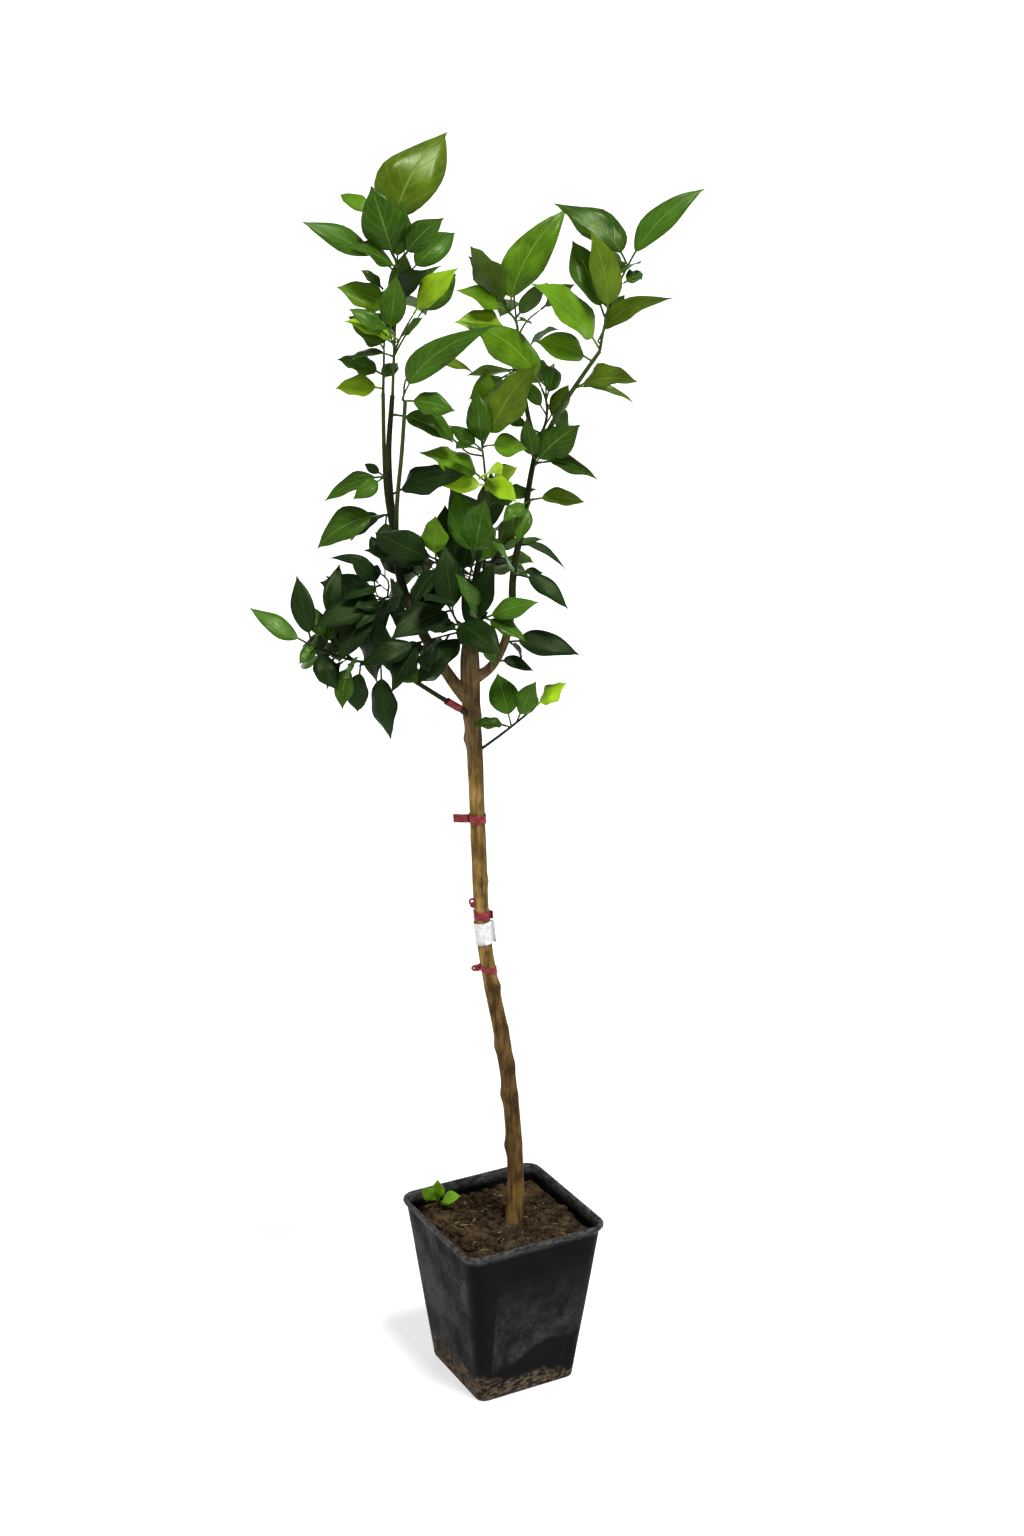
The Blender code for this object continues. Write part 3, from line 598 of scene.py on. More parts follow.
# %% [markdown]
# The real shoots go on to finer twigs with smaller leaves. They follow the same rule: a twig leaves
# its shoot at a seeded place, goes up and outwards, and carries one or two leaves, and anything
# that would touch is left out. The dark masses round the fork are thick with them. Above, they
# only grow on the shoots that point at the viewer or away, so the crown keeps its gaps of sky.

# %% Finer twigs and small leaves
FINE_RADII = (0.8, 0.5)
FINE_SIZE = (26, 46)
FINE_REACH = (5, 20)
FINE_EVERY = 8 * MM
THICK_MASSES = ("left_cloud", "front_cloud", "top_cloud", "back_cloud", "low_left")


def grow_fine():
    """Twigs as (line, tone), and their leaves as (leaf, tone)."""
    fine_twigs, fine_leaves = [], []
    for name, (limb, room, tones, rows) in MASSES.items():
        if not limb:
            continue
        rng = random.Random("fine " + name)
        thick = name in THICK_MASSES
        for line, parent, tone in zip(shoots[name], rows, tones):
            if not thick and abs(parent.away) < 45:
                continue
            length = sum((b - a).length for a, b in zip(line, line[1:]))
            every = FINE_EVERY if thick else 2 * FINE_EVERY
            for i in range(int(length / every)):
                share = min(0.9, (i + rng.uniform(0.4, 1.0)) * every / length)
                start, along = place_on(line, share)
                clock = math.degrees(math.atan2(along.z, along.x)) + rng.choice((-1, 1)) * rng.uniform(35, 75)
                row = Shoot(share, rng.uniform(*FINE_REACH), clock, rng.uniform(-60, 60),
                            rng.uniform(-30, 30), rng.choice((1, 2, 2)), rng.uniform(*FINE_SIZE), 1.15)
                twig = shoot_line(start, row)
                grown = []
                turn = rng.uniform(0, 2 * math.pi)
                for k in range(row.leaves):
                    turn += math.radians(SPIRAL)
                    leaf = new_leaf(twig, 1 if k == 0 else 0.7, turn, row, rng)
                    if has_room(leaf, placed):
                        grown.append(leaf)
                if grown:
                    fine_twigs.append(twig)
                    fine_leaves += [(leaf, tone) for leaf in grown]
    return fine_twigs, fine_leaves


fine_twigs, fine_leaves = grow_fine()
print("fine twigs:", len(fine_twigs), "small leaves:", len(fine_leaves))

# %% [markdown]
# A lemon leaf is a leathery blade, folded a little along its midrib, with a wavy margin, a fine
# point and a thick stalk. One flat grid with a wall of its own is the pattern for all of them: x
# runs across the blade, y along it, and the lower layer is the underside. A copy is then bent
# into each leaf's place, so a shape that is repeated hundreds of times stays light.

# %% The pattern of a blade
ALONG = 18
ACROSS = 4
STALK_ROWS = 2


def blade_pattern():
    bm = bmesh.new()
    bmesh.ops.create_grid(bm, x_segments=ACROSS, y_segments=ALONG, size=1)
    bmesh.ops.solidify(bm, geom=bm.faces[:], thickness=0.5)
    uv = bm.loops.layers.uv.new("UVMap")
    for face in bm.faces:
        face.material_index = 1 if face.calc_center_median().z < -0.4 else 0
        for loop in face.loops:
            loop[uv].uv = (loop.vert.co.x / 2 + 0.5, loop.vert.co.y / 2 + 0.5)
    pattern = bpy.data.meshes.new("blade_pattern")
    bm.to_mesh(pattern)
    bm.free()
    return pattern


pattern = blade_pattern()
print("faces in a leaf:", len(pattern.polygons))

# %% [markdown]
# Bending a copy: the rows are spread so that they lie closer at the stalk and the tip, each row
# gets the width of the outline's formula there, and the blade follows its midrib's arc. The fold,
# a curl of the margin and a wave come on top, each a few degrees or millimetres and seeded. The
# midrib stands out below. A lattice could bend the copies too, but a formula for each point keeps
# all leaves different.

# %% Bend the pattern into a leaf
BLADE_SKIN = 0.4 * MM
STALK_SKIN = 1.5 * MM
RIB_SKIN = 0.5 * MM
TIP_WIDTH = 0.3 * MM


def share_along(y):
    """The share of the leaf's length for the pattern's y from -1 to 1."""
    row = (y + 1) / 2 * ALONG
    if row <= STALK_ROWS:
        return -0.01 + (STALK + 0.01) * row / STALK_ROWS
    t = (1 - math.cos(math.pi * (row - STALK_ROWS) / (ALONG - STALK_ROWS))) / 2
    return STALK + (1 - STALK) * t


def bend_blade(verts, leaf, rng):
    curl = rng.uniform(0.10, 0.34)
    wave = rng.uniform(0.08, 0.24)
    waves = rng.uniform(1.2, 2.4)
    phase = rng.uniform(0, 2 * math.pi)
    twist = math.radians(rng.uniform(-22, 22))
    droop = rng.uniform(-0.02, 0.09)
    sideways = rng.uniform(-0.03, 0.03)
    across = leaf.heading.cross(leaf.upper)
    for vert in verts:
        x, y, layer = vert.co
        share = share_along(y)
        blade = max(0.0, (share - STALK) / (1 - STALK))
        half = half_width(leaf, share) if STALK + 0.01 < share < 0.99 else STALK_WIDTH / 2
        half = min(half, max(TIP_WIDTH, (1 - share) * leaf.width)) if share > 0.9 else half
        place, normal = midrib(leaf, share)
        turn = Matrix.Rotation(twist * blade, 3, leaf.heading)
        wide = turn @ across
        normal = turn @ normal
        fold = leaf.fold * min(1.0, blade * 6)
        lift = math.sin(fold) * abs(x) - curl * fold / 0.3 * x * x
        swing = math.sin(2 * math.pi * waves * blade + phase + (x > 0) * 1.3)
        lift += wave * abs(x) ** 1.5 * swing * (blade > 0)
        skin = BLADE_SKIN + (STALK_SKIN - BLADE_SKIN) * max(0.0, 1 - blade * 12)
        rib = RIB_SKIN * (1 - blade) * (abs(x) < 0.1)
        level = skin / 2 if layer > -0.25 else -skin / 2 - rib
        vert.co = (place + wide * (x * half * math.cos(fold) + sideways * leaf.length * blade ** 2)
                   + normal * (lift * half + level - droop * leaf.length * blade ** 3))


def add_leaves(bm, grown, seed):
    """Adds the leaves to the bmesh, with a seeded tint on each."""
    tint = bm.verts.layers.float.get("tint") or bm.verts.layers.float.new("tint")
    for number, leaf in enumerate(grown):
        rng = random.Random(f"{seed} {number}")
        before = len(bm.verts)
        bm.from_mesh(pattern)
        bm.verts.ensure_lookup_table()
        verts = bm.verts[before:]
        tone = rng.random()
        for vert in verts:
            vert[tint] = tone
        bend_blade(verts, leaf, rng)


print("rows of the stalk:", STALK_ROWS, "rows of the blade:", ALONG - STALK_ROWS)

# %% [markdown]
# Leaf finishes: the upper side is a waxy green, with a pale midrib, faint veins that run out to
# the margin and a satin gloss. The underside is paler and duller. The veins follow the blade's own
# UV map, by a formula, which stays sharp from near. The tint attribute makes one leaf a little
# lighter than the next.

# %% Leaf materials
GREENS = {
    "D": ("deep", (0.004, 0.014, 0.002)),
    "M": ("middle", (0.027, 0.072, 0.004)),
    "F": ("fresh", (0.078, 0.172, 0.005)),
    "L": ("lime", (0.210, 0.360, 0.010)),
    "O": ("olive", (0.066, 0.112, 0.005)),
}
PALE_VEIN = (0.22, 0.36, 0.06)
UNDERSIDE = (0.075, 0.130, 0.026)
VEIN_PAIRS = 8
GLOSS_TINT = (0.80, 1.0, 0.50, 1)


def blend_colors(a, b, share):
    return tuple(x + (y - x) * share for x, y in zip(a, b))


def leaf_material(name, color, roughness, veins):
    """A leaf's skin. The veins' number from 0 to 1 is how pale they are."""
    material = new_material(name, color, roughness, 0.16, Specular_Tint=GLOSS_TINT)
    u, v, _ = add("SeparateXYZ", {0: add("UVMap", uv_map="UVMap").outputs[0]}).outputs
    off = calc("ABSOLUTE", calc("SUBTRACT", u, 0.5))
    midrib_line = span(off, 0.004, 0.024, 1, 0)
    slant = plus(times(v, VEIN_PAIRS * 1.3), times(off, -5.0))
    ripple = calc("ABSOLUTE", calc("SUBTRACT", calc("FRACT", slant), 0.5))
    vein_line = span(ripple, 0.0, 0.12, 0.28, 0)
    lines = calc("MAXIMUM", midrib_line, vein_line)
    tint = add("Attribute", attribute_name="tint").outputs["Fac"]
    cloud = spots(42, 3)
    uneven = times(calc("SUBTRACT", cloud, 0.5), 1.8)
    light = span(plus(times(tint, 0.7), uneven), -0.3, 1.0, 0.5, 1.6)
    body = add("HueSaturation", {"Color": (*color, 1), "Value": light}).outputs[0]
    vein = blend_colors(color, PALE_VEIN, veins)
    feed("Base Color", mix(times(lines, 0.8), body, vein))
    feed("Roughness", span(cloud, 0.3, 0.7, roughness - 0.07, roughness + 0.08))
    relief(times(lines, -1.0), 0.25 * MM)
    return material


leaf_skins = {}
for letter, (tone_name, color) in GREENS.items():
    paler, veins, roughness = (0.2, 0.12, 0.48) if letter == "D" else (0.35, 0.55, 0.30)
    below = blend_colors(color, UNDERSIDE, paler)
    leaf_skins[letter] = [leaf_material("leaf_" + tone_name, color, roughness, veins),
                          leaf_material("leaf_" + tone_name + "_underside", below, 0.6, 0.2)]
print("leaf materials:", 2 * len(leaf_skins))

# %% [markdown]
# The leaves are dealt out by spray into one piece for each tone, so each piece has one plain
# colour above and one below. Together with the twigs they stand for all the masses.

# %% Deal out and make the leaves
MASS_NODES = list(MASSES)
for letter, (tone_name, color) in GREENS.items():
    bm = bmesh.new()
    for name, (limb, room, tones, rows) in MASSES.items():
        add_leaves(bm, [leaf for leaf, row in leaves[name] if tones[row] == letter], name)
    add_leaves(bm, [leaf for leaf, tone in fine_leaves if tone == letter], "fine")
    finish_piece("leaves_" + tone_name, bm, leaf_skins[letter], MASS_NODES)

# %% [markdown]
# A twig or limb is a circle that is extruded from ring to ring along its line. Each ring has its
# own radius, and a function may add relief to it. A curve with a bevel is quicker to make, but its
# rings can't carry ridges and knots. The first and the last ring are closed, so the surface has no
# holes, and its faces are turned outwards.

# %% A tube from an extruded circle
def add_tube(bm, line, radii, sides, shape=None):
    """The shape function gives what a ring's place adds to the radius there, from an angle and a place."""
    before = len(bm.faces)
    ring = bmesh.ops.create_circle(bm, cap_ends=True, segments=sides, radius=1)["verts"]
    edges = bm.edges[-sides:]
    for i, (centre, radius, (side, across)) in enumerate(zip(line, radii, across_line(line))):
        if i:
            ring, edges = next_ring(bm, edges)
        for k, vert in enumerate(ring):
            angle = 2 * math.pi * k / sides
            extra = shape(angle, centre) if shape else 0
            vert.co = centre + (side * math.cos(angle) + across * math.sin(angle)) * (radius + extra)
    bmesh.ops.contextual_create(bm, geom=edges)
    bmesh.ops.reverse_faces(bm, faces=bm.faces[before:])


print("twigs to make:", sum(len(lines) for lines in shoots.values()) + len(fine_twigs))

# %% [markdown]
# Bark: the trunk's is thin and olive-golden, with fine ridges along it, old leaf scars and a few
# knots. Real relief carries the ridges and knots, because the outline shows them. Finer grain is
# left to the material.

# %% Relief of the bark
Knot = namedtuple("Knot", "height clock size spread")
KNOTS = [
    Knot(266, 180, 1.5, 9), Knot(270, 260, 0.7, 8), Knot(326, 180, 1.6, 9), Knot(322, 300, 0.6, 6),
    Knot(366, 300, 1.1, 8), Knot(358, 345, 0.8, 8), Knot(382, 178, 1.3, 10), Knot(400, 60, 1.1, 8),
    Knot(448, 355, 1.3, 6), Knot(474, 255, 0.5, 9), Knot(565, 20, 0.8, 6), Knot(611, 120, 0.9, 8),
    Knot(690, 250, 0.5, 10), Knot(719, 180, 1.6, 7), Knot(741, 80, 1.0, 9), Knot(742, 330, 0.8, 8),
]
KNOT_SWELL = 1.35
RIDGE = 0.40 * MM
GRAIN = 0.16 * MM


def bark_ridges(angle, place):
    c, s = math.cos(angle), math.sin(angle)
    ridge = noise.noise(Vector((c * 2.6, s * 2.6, place.z * 14)))
    grain = noise.noise(Vector((c * 8, s * 8, place.z * 45)))
    return RIDGE * ridge + GRAIN * grain


def trunk_relief(angle, place):
    extra = bark_ridges(angle, place)
    for knot in KNOTS:
        level = (place.z / MM - knot.height) / knot.spread
        if abs(level) < 3:
            off = math.remainder(angle - math.radians(knot.clock), 2 * math.pi) / 0.8
            ring = 0.3 * math.exp(-(level / 0.5) ** 2)
            extra += KNOT_SWELL * knot.size * MM * (math.exp(-level ** 2 - off ** 2) + ring * 0.5)
    return extra


print("knots and scars:", len(KNOTS))

# %% [markdown]
# The bark's colour follows the real trunk: brown and mottled low down, golden olive with darker
# streaks in the middle, grey-brown at the fork and dark green on the boughs. Streaks are noise
# that is stretched along the limb.

# %% Bark materials
# each zone: where it starts and where it is full, the blotches' range, its dark and bright colour
BARK_ZONES = [
    (0.00, 0.00, 0.38, 0.62, (0.042, 0.022, 0.006), (0.185, 0.106, 0.032)),
    (0.42, 0.50, 0.40, 0.62, (0.110, 0.066, 0.017), (0.350, 0.220, 0.064)),
    (0.67, 0.73, 0.40, 0.60, (0.038, 0.025, 0.009), (0.165, 0.108, 0.045)),
    (0.80, 0.87, 0.40, 0.60, (0.006, 0.010, 0.003), (0.022, 0.029, 0.008)),
]


def bark_material():
    material = new_material("bark", (0.12, 0.08, 0.03), 0.72, 0.06)
    streaks = spots(300, 5, (1, 1, 0.06))
    blotches = spots(55, 4, (1, 1, 0.5))
    wander = plus(place_parts()[2], span(blotches, 0.3, 0.7, -0.03, 0.03))
    color = None
    for foot, full, first, last, dark, bright in BARK_ZONES:
        zone = mix(span(blotches, first, last), dark, bright)
        color = mix(span(wander, foot, full), color, zone) if color else zone
    color = mix(span(streaks, 0.32, 0.56, 0.85, 0), color, (0.018, 0.011, 0.005))
    feed("Base Color", color)
    feed("Roughness", span(streaks, 0.3, 0.7, 0.62, 0.85))
    relief(plus(streaks, blotches), 0.8 * MM)
    return material


def twig_material():
    """Smooth green skin, with painted shade low in the crown and painted light high up."""
    material = new_material("young_twig", (0.03, 0.05, 0.01), 0.5, 0.08)
    streaks = spots(420, 4, (1, 1, 0.12))
    dark = mix(streaks, (0.005, 0.009, 0.003), (0.026, 0.034, 0.010))
    bright = mix(streaks, (0.014, 0.032, 0.004), (0.075, 0.140, 0.014))
    # Painted shade and light: the skin runs from dark low in the crown to bright high up, by height alone.
    feed("Base Color", mix(span(place_parts()[2], 0.85, 1.2), dark, bright))
    relief(streaks, 0.2 * MM)
    return material


bark = bark_material()
twig_skin = twig_material()
print("bark and twig materials made")

# %% [markdown]
# The trunk gets a ring every three millimetres or so, so that the relief is real. Its top is drawn in
# to the bough that goes on from it. Each bough swells where it leaves its parent, as a real collar
# does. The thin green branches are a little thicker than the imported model's.

# %% Trunk and boughs
TRUNK_STEPS = 24
TRUNK_SIDES = 40
BOUGH_STEPS = 8
BOUGH_SIDES = 20
BRANCH_SIDES = 12
COLLAR = 0.35
COLLAR_LENGTH = 0.012
TOP_DRAWN_IN = 0.030
TOP_TAPER = 0.35
BRANCH_SWELL = 1.2


def visual_limb(name):
    """A limb's line in fine steps, and its radii."""
    line = limb_line(name, limbs, TRUNK_STEPS if name == "trunk" else BOUGH_STEPS)
    radii = limb_radii(name, line)
    if LIMBS[name].parent:
        sunk = LIMBS[LIMBS[name].parent].thin * MM
        for i, place in enumerate(line):
            out = max(0.0, (place - line[0]).length - sunk)
            radii[i] *= 1 + COLLAR * math.exp(-out / COLLAR_LENGTH)
    return line, radii


bm = bmesh.new()
line, radii = visual_limb("trunk")
top = line[-1].z
for i, place in enumerate(line):
    drawn = max(0.0, 1 - (top - place.z) / TOP_DRAWN_IN)
    radii[i] *= 1 - TOP_TAPER * drawn ** 2
line = [place for place in line if place.z > SOIL_TOP - 6 * MM]
add_tube(bm, line, radii[-len(line):], TRUNK_SIDES, trunk_relief)
finish_piece("trunk_bark", bm, [bark], ["trunk"])

bm = bmesh.new()
BROWN_BOUGHS = [name for name in LIMBS if LIMBS[name].thick > 3 and LIMBS[name].parent]
for name in BROWN_BOUGHS:
    line, radii = visual_limb(name)
    add_tube(bm, line, radii, BOUGH_SIDES, bark_ridges)
finish_piece("bough_bark", bm, [bark], BROWN_BOUGHS)

bm = bmesh.new()
GREEN_BRANCHES = [name for name in LIMBS if LIMBS[name].thick <= 3]
for name in GREEN_BRANCHES:
    line, radii = visual_limb(name)
    add_tube(bm, line, [radius * BRANCH_SWELL for radius in radii], BRANCH_SIDES)
finish_piece("green_branches", bm, [twig_skin], GREEN_BRANCHES)

# %% [markdown]
# Twigs are the same tube with fewer sides. A young shoot is thickest at its foot, and its end is
# drawn in where a leaf's stalk goes on.

# %% Twigs
TWIG_SIDES = 7
FINE_SIDES = 5


def add_twig(bm, line, ends, sides):
    smooth = through(line)
    radii = shoot_radii(smooth, ends)
    radii[-1] *= 0.5
    add_tube(bm, smooth, radii, sides)


bm = bmesh.new()
for name in MASSES:
    for number, line in enumerate(shoots[name]):
        add_twig(bm, line, SPUR_RADII if number else STEM_RADII, TWIG_SIDES)
for line in fine_twigs:
    add_twig(bm, line, FINE_RADII, FINE_SIDES)
finish_piece("twigs", bm, [twig_skin], MASS_NODES)

# %% [markdown]
# The pot is blown from thin black plastic: a square tub with rounded corners that widens upwards
# to a rolled rim. A rounded square ring is extruded up the outside, over the rim and down the
# inside. A cube with a taper could do for the tub, but rings also follow the roll of the rim and
# the thin wall. The walls bow a little, as thin walls do, and stand out by a fraction of a
# millimetre here and there.

# %% Pot
POT_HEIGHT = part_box("pot")[1].z
RIM_SIDE = 0.163
BASE_SIDE = 0.117
RIM_CORNER = 0.014
BASE_CORNER = 0.010
POT_WALL = 0.0016
BEAD = 0.0035
RING_POINTS = 96
UNEVEN = 0.5 * MM


def side_at(height):
    return BASE_SIDE + (RIM_SIDE - BASE_SIDE) * height / POT_HEIGHT


def on_rounded_square(share, side, corner):
    """The point this share of the way round a square with rounded corners."""
    flat = side - 2 * corner
    arc = math.pi * corner / 2
    quarter, left = divmod(share * 4, 1)
    left *= flat + arc
    turn = Matrix.Rotation(quarter * math.pi / 2, 3, "Z")
    if left < flat:
        return turn @ Vector((side / 2, left - flat / 2, 0))
    angle = (left - flat) / corner
    return turn @ Vector((flat / 2 + corner * math.cos(angle), flat / 2 + corner * math.sin(angle), 0))


def pot_profile():
    """Pairs of how far the ring stands out from the wall on each side, and its height."""
    rows = [(-0.0040, 0.0002), (-0.0012, 0.0), (-0.0003, 0.0006), (0, 0.0018)]
    rows += [(0, POT_HEIGHT * i / 28) for i in range(1, 27)]
    rows += [(0.0002, POT_HEIGHT - 2.4 * BEAD), (0.0010, POT_HEIGHT - 2.05 * BEAD)]
    for i in range(9):
        turn = math.radians(-60 + i * 25)
        rows.append((BEAD * (0.25 + 0.75 * math.cos(turn)), POT_HEIGHT - BEAD * (1 - math.sin(turn))))
    rows += [(-POT_WALL - 0.0004, POT_HEIGHT - BEAD), (-POT_WALL, POT_HEIGHT - 2 * BEAD)]
    rows += [(-POT_WALL, SOIL_TOP - 0.012), (-POT_WALL, 0.004)]
    return rows


bm = bmesh.new()
ring = bmesh.ops.create_circle(bm, cap_ends=True, segments=RING_POINTS, radius=1)["verts"]
edges = bm.edges[:]
for row, (out, height) in enumerate(pot_profile()):
    if row:
        ring, edges = next_ring(bm, edges)
    corner = BASE_CORNER + (RIM_CORNER - BASE_CORNER) * height / POT_HEIGHT
    for k, vert in enumerate(ring):
        point = on_rounded_square(k / RING_POINTS, side_at(height) + 2 * out, corner + out)
        if 0.004 < height < POT_HEIGHT - 2 * BEAD:
            bow = noise.noise(Vector((point.x * 22, point.y * 22, height * 16)))
            point += point.normalized() * (UNEVEN * bow)
        vert.co = point + UP * height
bmesh.ops.contextual_create(bm, geom=edges)
bmesh.ops.recalc_face_normals(bm, faces=bm.faces)
print("faces of the pot:", len(bm.faces))

# %% [markdown]
# The pot's plastic is black, with a painted highlight in grey flecks along the top of its rim, and it
# has stood in mud: a brown crust near the floor, a clean black band over it, and a cloud of grey dust
# with a straight left edge on the broad side. All of it is placed by height and by side with the pot's
# own coordinates, and broken up with noise, so nothing has to be painted by hand.

# %% Pot material
DUST = (0.034, 0.033, 0.031)
MUD = (0.096, 0.070, 0.046)


def pot_material():
    material = new_material("pot_plastic", (0.004, 0.004, 0.005), 0.5, 0.05)
    x, y, z = place_parts()
    fine = spots(260, 6)
    cloud = spots(24, 5, place=(0.3, 0.1, 0.7))
    mottle = spots(62, 6, place=(0.1, 0.4, 0.2), rough=0.65)
    flecks = spots(120, 5, (1, 1, 1.8), 0.7)
    edge = plus(z, span(cloud, 0.3, 0.7, -0.012, 0.012))
    mud_edge = plus(edge, times(x, 0.14))
    mud = times(span(mud_edge, 0.021, 0.027, 1, 0), span(flecks, 0.44, 0.56, 0.04, 1))
    dust_edge = calc("SUBTRACT", edge, times(x, 0.20))
    patch = times(span(dust_edge, 0.048, 0.053), span(z, 0.150, 0.085), span(x, -0.0475, -0.0455),
                  span(y, -0.052, -0.056), span(mottle, 0.36, 0.62, 0.1, 1))
    near_edge = span(plus(x, dust_edge), 0.020, 0.003)
    crust = times(patch, near_edge, span(flecks, 0.5, 0.62))
    # Painted highlight: light grey flecks along the top of the rim, placed by height alone.
    painted_rim_highlight = times(span(z, 0.178, 0.184), span(flecks, 0.42, 0.62, 0.15, 0.8))
    haze = span(times(cloud, span(fine, 0.3, 0.7, 0.7, 1.1)), 0.35, 0.65)
    color = mix(times(haze, 0.35), (0.0010, 0.0011, 0.0014), (0.009, 0.009, 0.009))
    color = mix(times(patch, span(fine, 0.35, 0.6, 0.55, 1)), color, DUST)
    color = mix(crust, color, MUD)
    color = mix(painted_rim_highlight, color, (0.080, 0.079, 0.077))
    color = mix(mud, color, MUD)
    feed("Base Color", color)
    feed("Roughness", span(plus(mud, patch, haze), 0, 1.2, 0.42, 0.9))
    relief(plus(times(mud, flecks), times(fine, 0.12)), 1.2 * MM)
    return material


finish_piece("pot_shell", bm, [pot_material()], ["pot"], turned=False)

# %% [markdown]
# The soil is dark and crumbly. A fine grid is shaped to the inside of the pot, roughened in three
# sizes of noise, mounded round the trunk and sunk at the wall. A displacing modifier could roughen
# it too, but a function of its own also says how high each clod has to lie.

# %% Soil
SOIL_CELLS = 110
SOIL_DEPTH = 0.02
SOIL_DRAWN_IN = 0.965
TRUNK_FOOT = TURN @ Vector((0.013, 0, 0))


def soil_level(x, y):
    """How far the soil stands over its mean level, in metres."""
    place = Vector((x, y, 0))
    rough = 3.2 * noise.noise(place * 38) + 1.9 * noise.noise(place * 95 + UP)
    rough += 0.9 * noise.noise(place * 230)
    mound = 3.0 * math.exp(-((place - TRUNK_FOOT).length / 0.022) ** 2)
    wall = 5.0 * max(0.0, max(abs(x), abs(y)) / (side_at(SOIL_TOP) / 2) - 0.86) / 0.14
    return (rough + mound - wall) * MM


bm = bmesh.new()
bmesh.ops.create_grid(bm, x_segments=SOIL_CELLS, y_segments=SOIL_CELLS, size=1)
half = side_at(SOIL_TOP) / 2 - POT_WALL - 0.3 * MM
for vert in bm.verts:
    x, y = vert.co.x, vert.co.y
    reach = max(abs(x), abs(y))
    if reach > 0:
        round_in = 1 - 0.055 * (min(abs(x), abs(y)) / reach) ** 8
        x, y = x * round_in * half, y * round_in * half
    vert.co = (x, y, SOIL_TOP + soil_level(x, y))
for vert in next_ring(bm, [edge for edge in bm.edges if edge.is_boundary])[0]:
    vert.co = vert.co * Vector((SOIL_DRAWN_IN, SOIL_DRAWN_IN, 1)) - UP * SOIL_DEPTH
bmesh.ops.contextual_create(bm, geom=[edge for edge in bm.edges if edge.is_boundary])
bmesh.ops.recalc_face_normals(bm, faces=bm.faces)


def soil_material():
    material = new_material("soil", (0.03, 0.02, 0.012), 0.95, 0.05)
    crumbs = spots(190, 8, rough=0.7)
    patches = spots(35, 4)
    dark = mix(span(crumbs, 0.35, 0.65), (0.0012, 0.0008, 0.0005), (0.052, 0.033, 0.017))
    feed("Base Color", mix(span(patches, 0.50, 0.66, 0, 0.55), dark, (0.100, 0.068, 0.036)))
    relief(crumbs, 2.2 * MM)
    return material


soil_finish = soil_material()
finish_piece("soil_bed", bm, [soil_finish], ["soil"], turned=False)

# %% [markdown]
# Clods are small balls pushed out of shape. Each has only eighty faces, because there are hundreds.
# Straws are short bent tubes with flat sides.

# %% Clods and straw
CLODS = 520
CLOD_SIZES = (1.1 * MM, 5.4 * MM)
STRAWS = 90


def soil_spot(rng, margin=0.008):
    """A seeded place on the soil, clear of the trunk."""
    while True:
        reach = half - margin
        x, y = rng.uniform(-reach, reach), rng.uniform(-reach, reach)
        if (Vector((x, y, 0)) - TRUNK_FOOT).length > 0.013:
            return Vector((x, y, SOIL_TOP + soil_level(x, y)))


rng = random.Random("clods")
bm = bmesh.new()
for number in range(CLODS):
    size = CLOD_SIZES[0] + CLOD_SIZES[1] * rng.random() ** 2.4
    place = soil_spot(rng)
    ball = bmesh.ops.create_icosphere(bm, subdivisions=2, radius=size)["verts"]
    squash = Vector((rng.uniform(0.8, 1.3), rng.uniform(0.8, 1.3), rng.uniform(0.5, 0.9)))
    for vert in ball:
        bumps = 1 + 0.45 * noise.noise(vert.co / size * 1.1 + Vector((number, 0, 0)))
        vert.co = vert.co * squash * bumps + place + UP * size * 0.15
finish_piece("clods", bm, [soil_finish], turned=False)

straw_skin = new_material("straw", (0.25, 0.16, 0.08), 0.8, 0.1)
feed("Base Color", mix(spots(60, 3), (0.06, 0.036, 0.016), (0.36, 0.25, 0.13)))
bm = bmesh.new()
for number in range(STRAWS):
    place = soil_spot(rng, 0.02)
    angle = rng.uniform(0, 2 * math.pi)
    length = rng.uniform(4, 13) * MM
    step = Vector((math.cos(angle), math.sin(angle), rng.uniform(-0.1, 0.3))) * length / 3
    sway = Vector((-step.y, step.x, 0)) * rng.uniform(-0.5, 0.5)
    line = [place + step * i + sway * math.sin(i) + UP * 0.6 * MM for i in range(4)]
    thick = rng.uniform(0.25, 0.7) * MM
    add_tube(bm, line, [thick * 0.6, thick, thick, thick * 0.4], 4)
finish_piece("straw", bm, [straw_skin], turned=False)

# %% [markdown]
# Red plastic tape ties the trunk at three heights, and a blank white label is wrapped round it.
# Each is a strip: a flat grid is bent round the limb, with its free end standing out, and gets its
# thickness from a wall. A cloth simulation could wrap them, but bent grids come out the same each
# time. A short piece of tape sits on the low bough's foot, and the knots of the ties stand out on
# the left as three small loops.

# %% Tape and label
Strip = namedtuple("Strip", "limb at tall tab lean")
STRIPS = {
    "tie_upper": Strip("trunk", 0.71, 9, -16, 0.4), "tie_middle": Strip("trunk", 0.5511, 9, 3, -0.6),
    "label": Strip("trunk", 0.522, 24, 4, 0.3), "tie_lower": Strip("trunk", 0.46, 7, -6, 3.0),
    "low_bough": Strip("bough_low", 0.27, 17, -1, 0.3),
}
STRIP_CELLS = 40
FREE_CELLS = 8
LOOPS = [(0.575, 5, 6), (0.570, 4, 4), (0.4655, 10, 5)]
LOOP_STEPS = 12
LOOP_THICK = 1.3 * MM


def strip_finish(name, color, roughness, wear_and_crease_shade):
    material = new_material(name, color, roughness, 0.25)
    creases = spots(210, 4, (1, 1, 2.5))
    # Along the creases: lighter wear on the red tape, painted crease shade on the label.
    feed("Base Color", mix(span(creases, 0.42, 0.66), color, wear_and_crease_shade))
    relief(creases, 0.4 * MM)
    return material


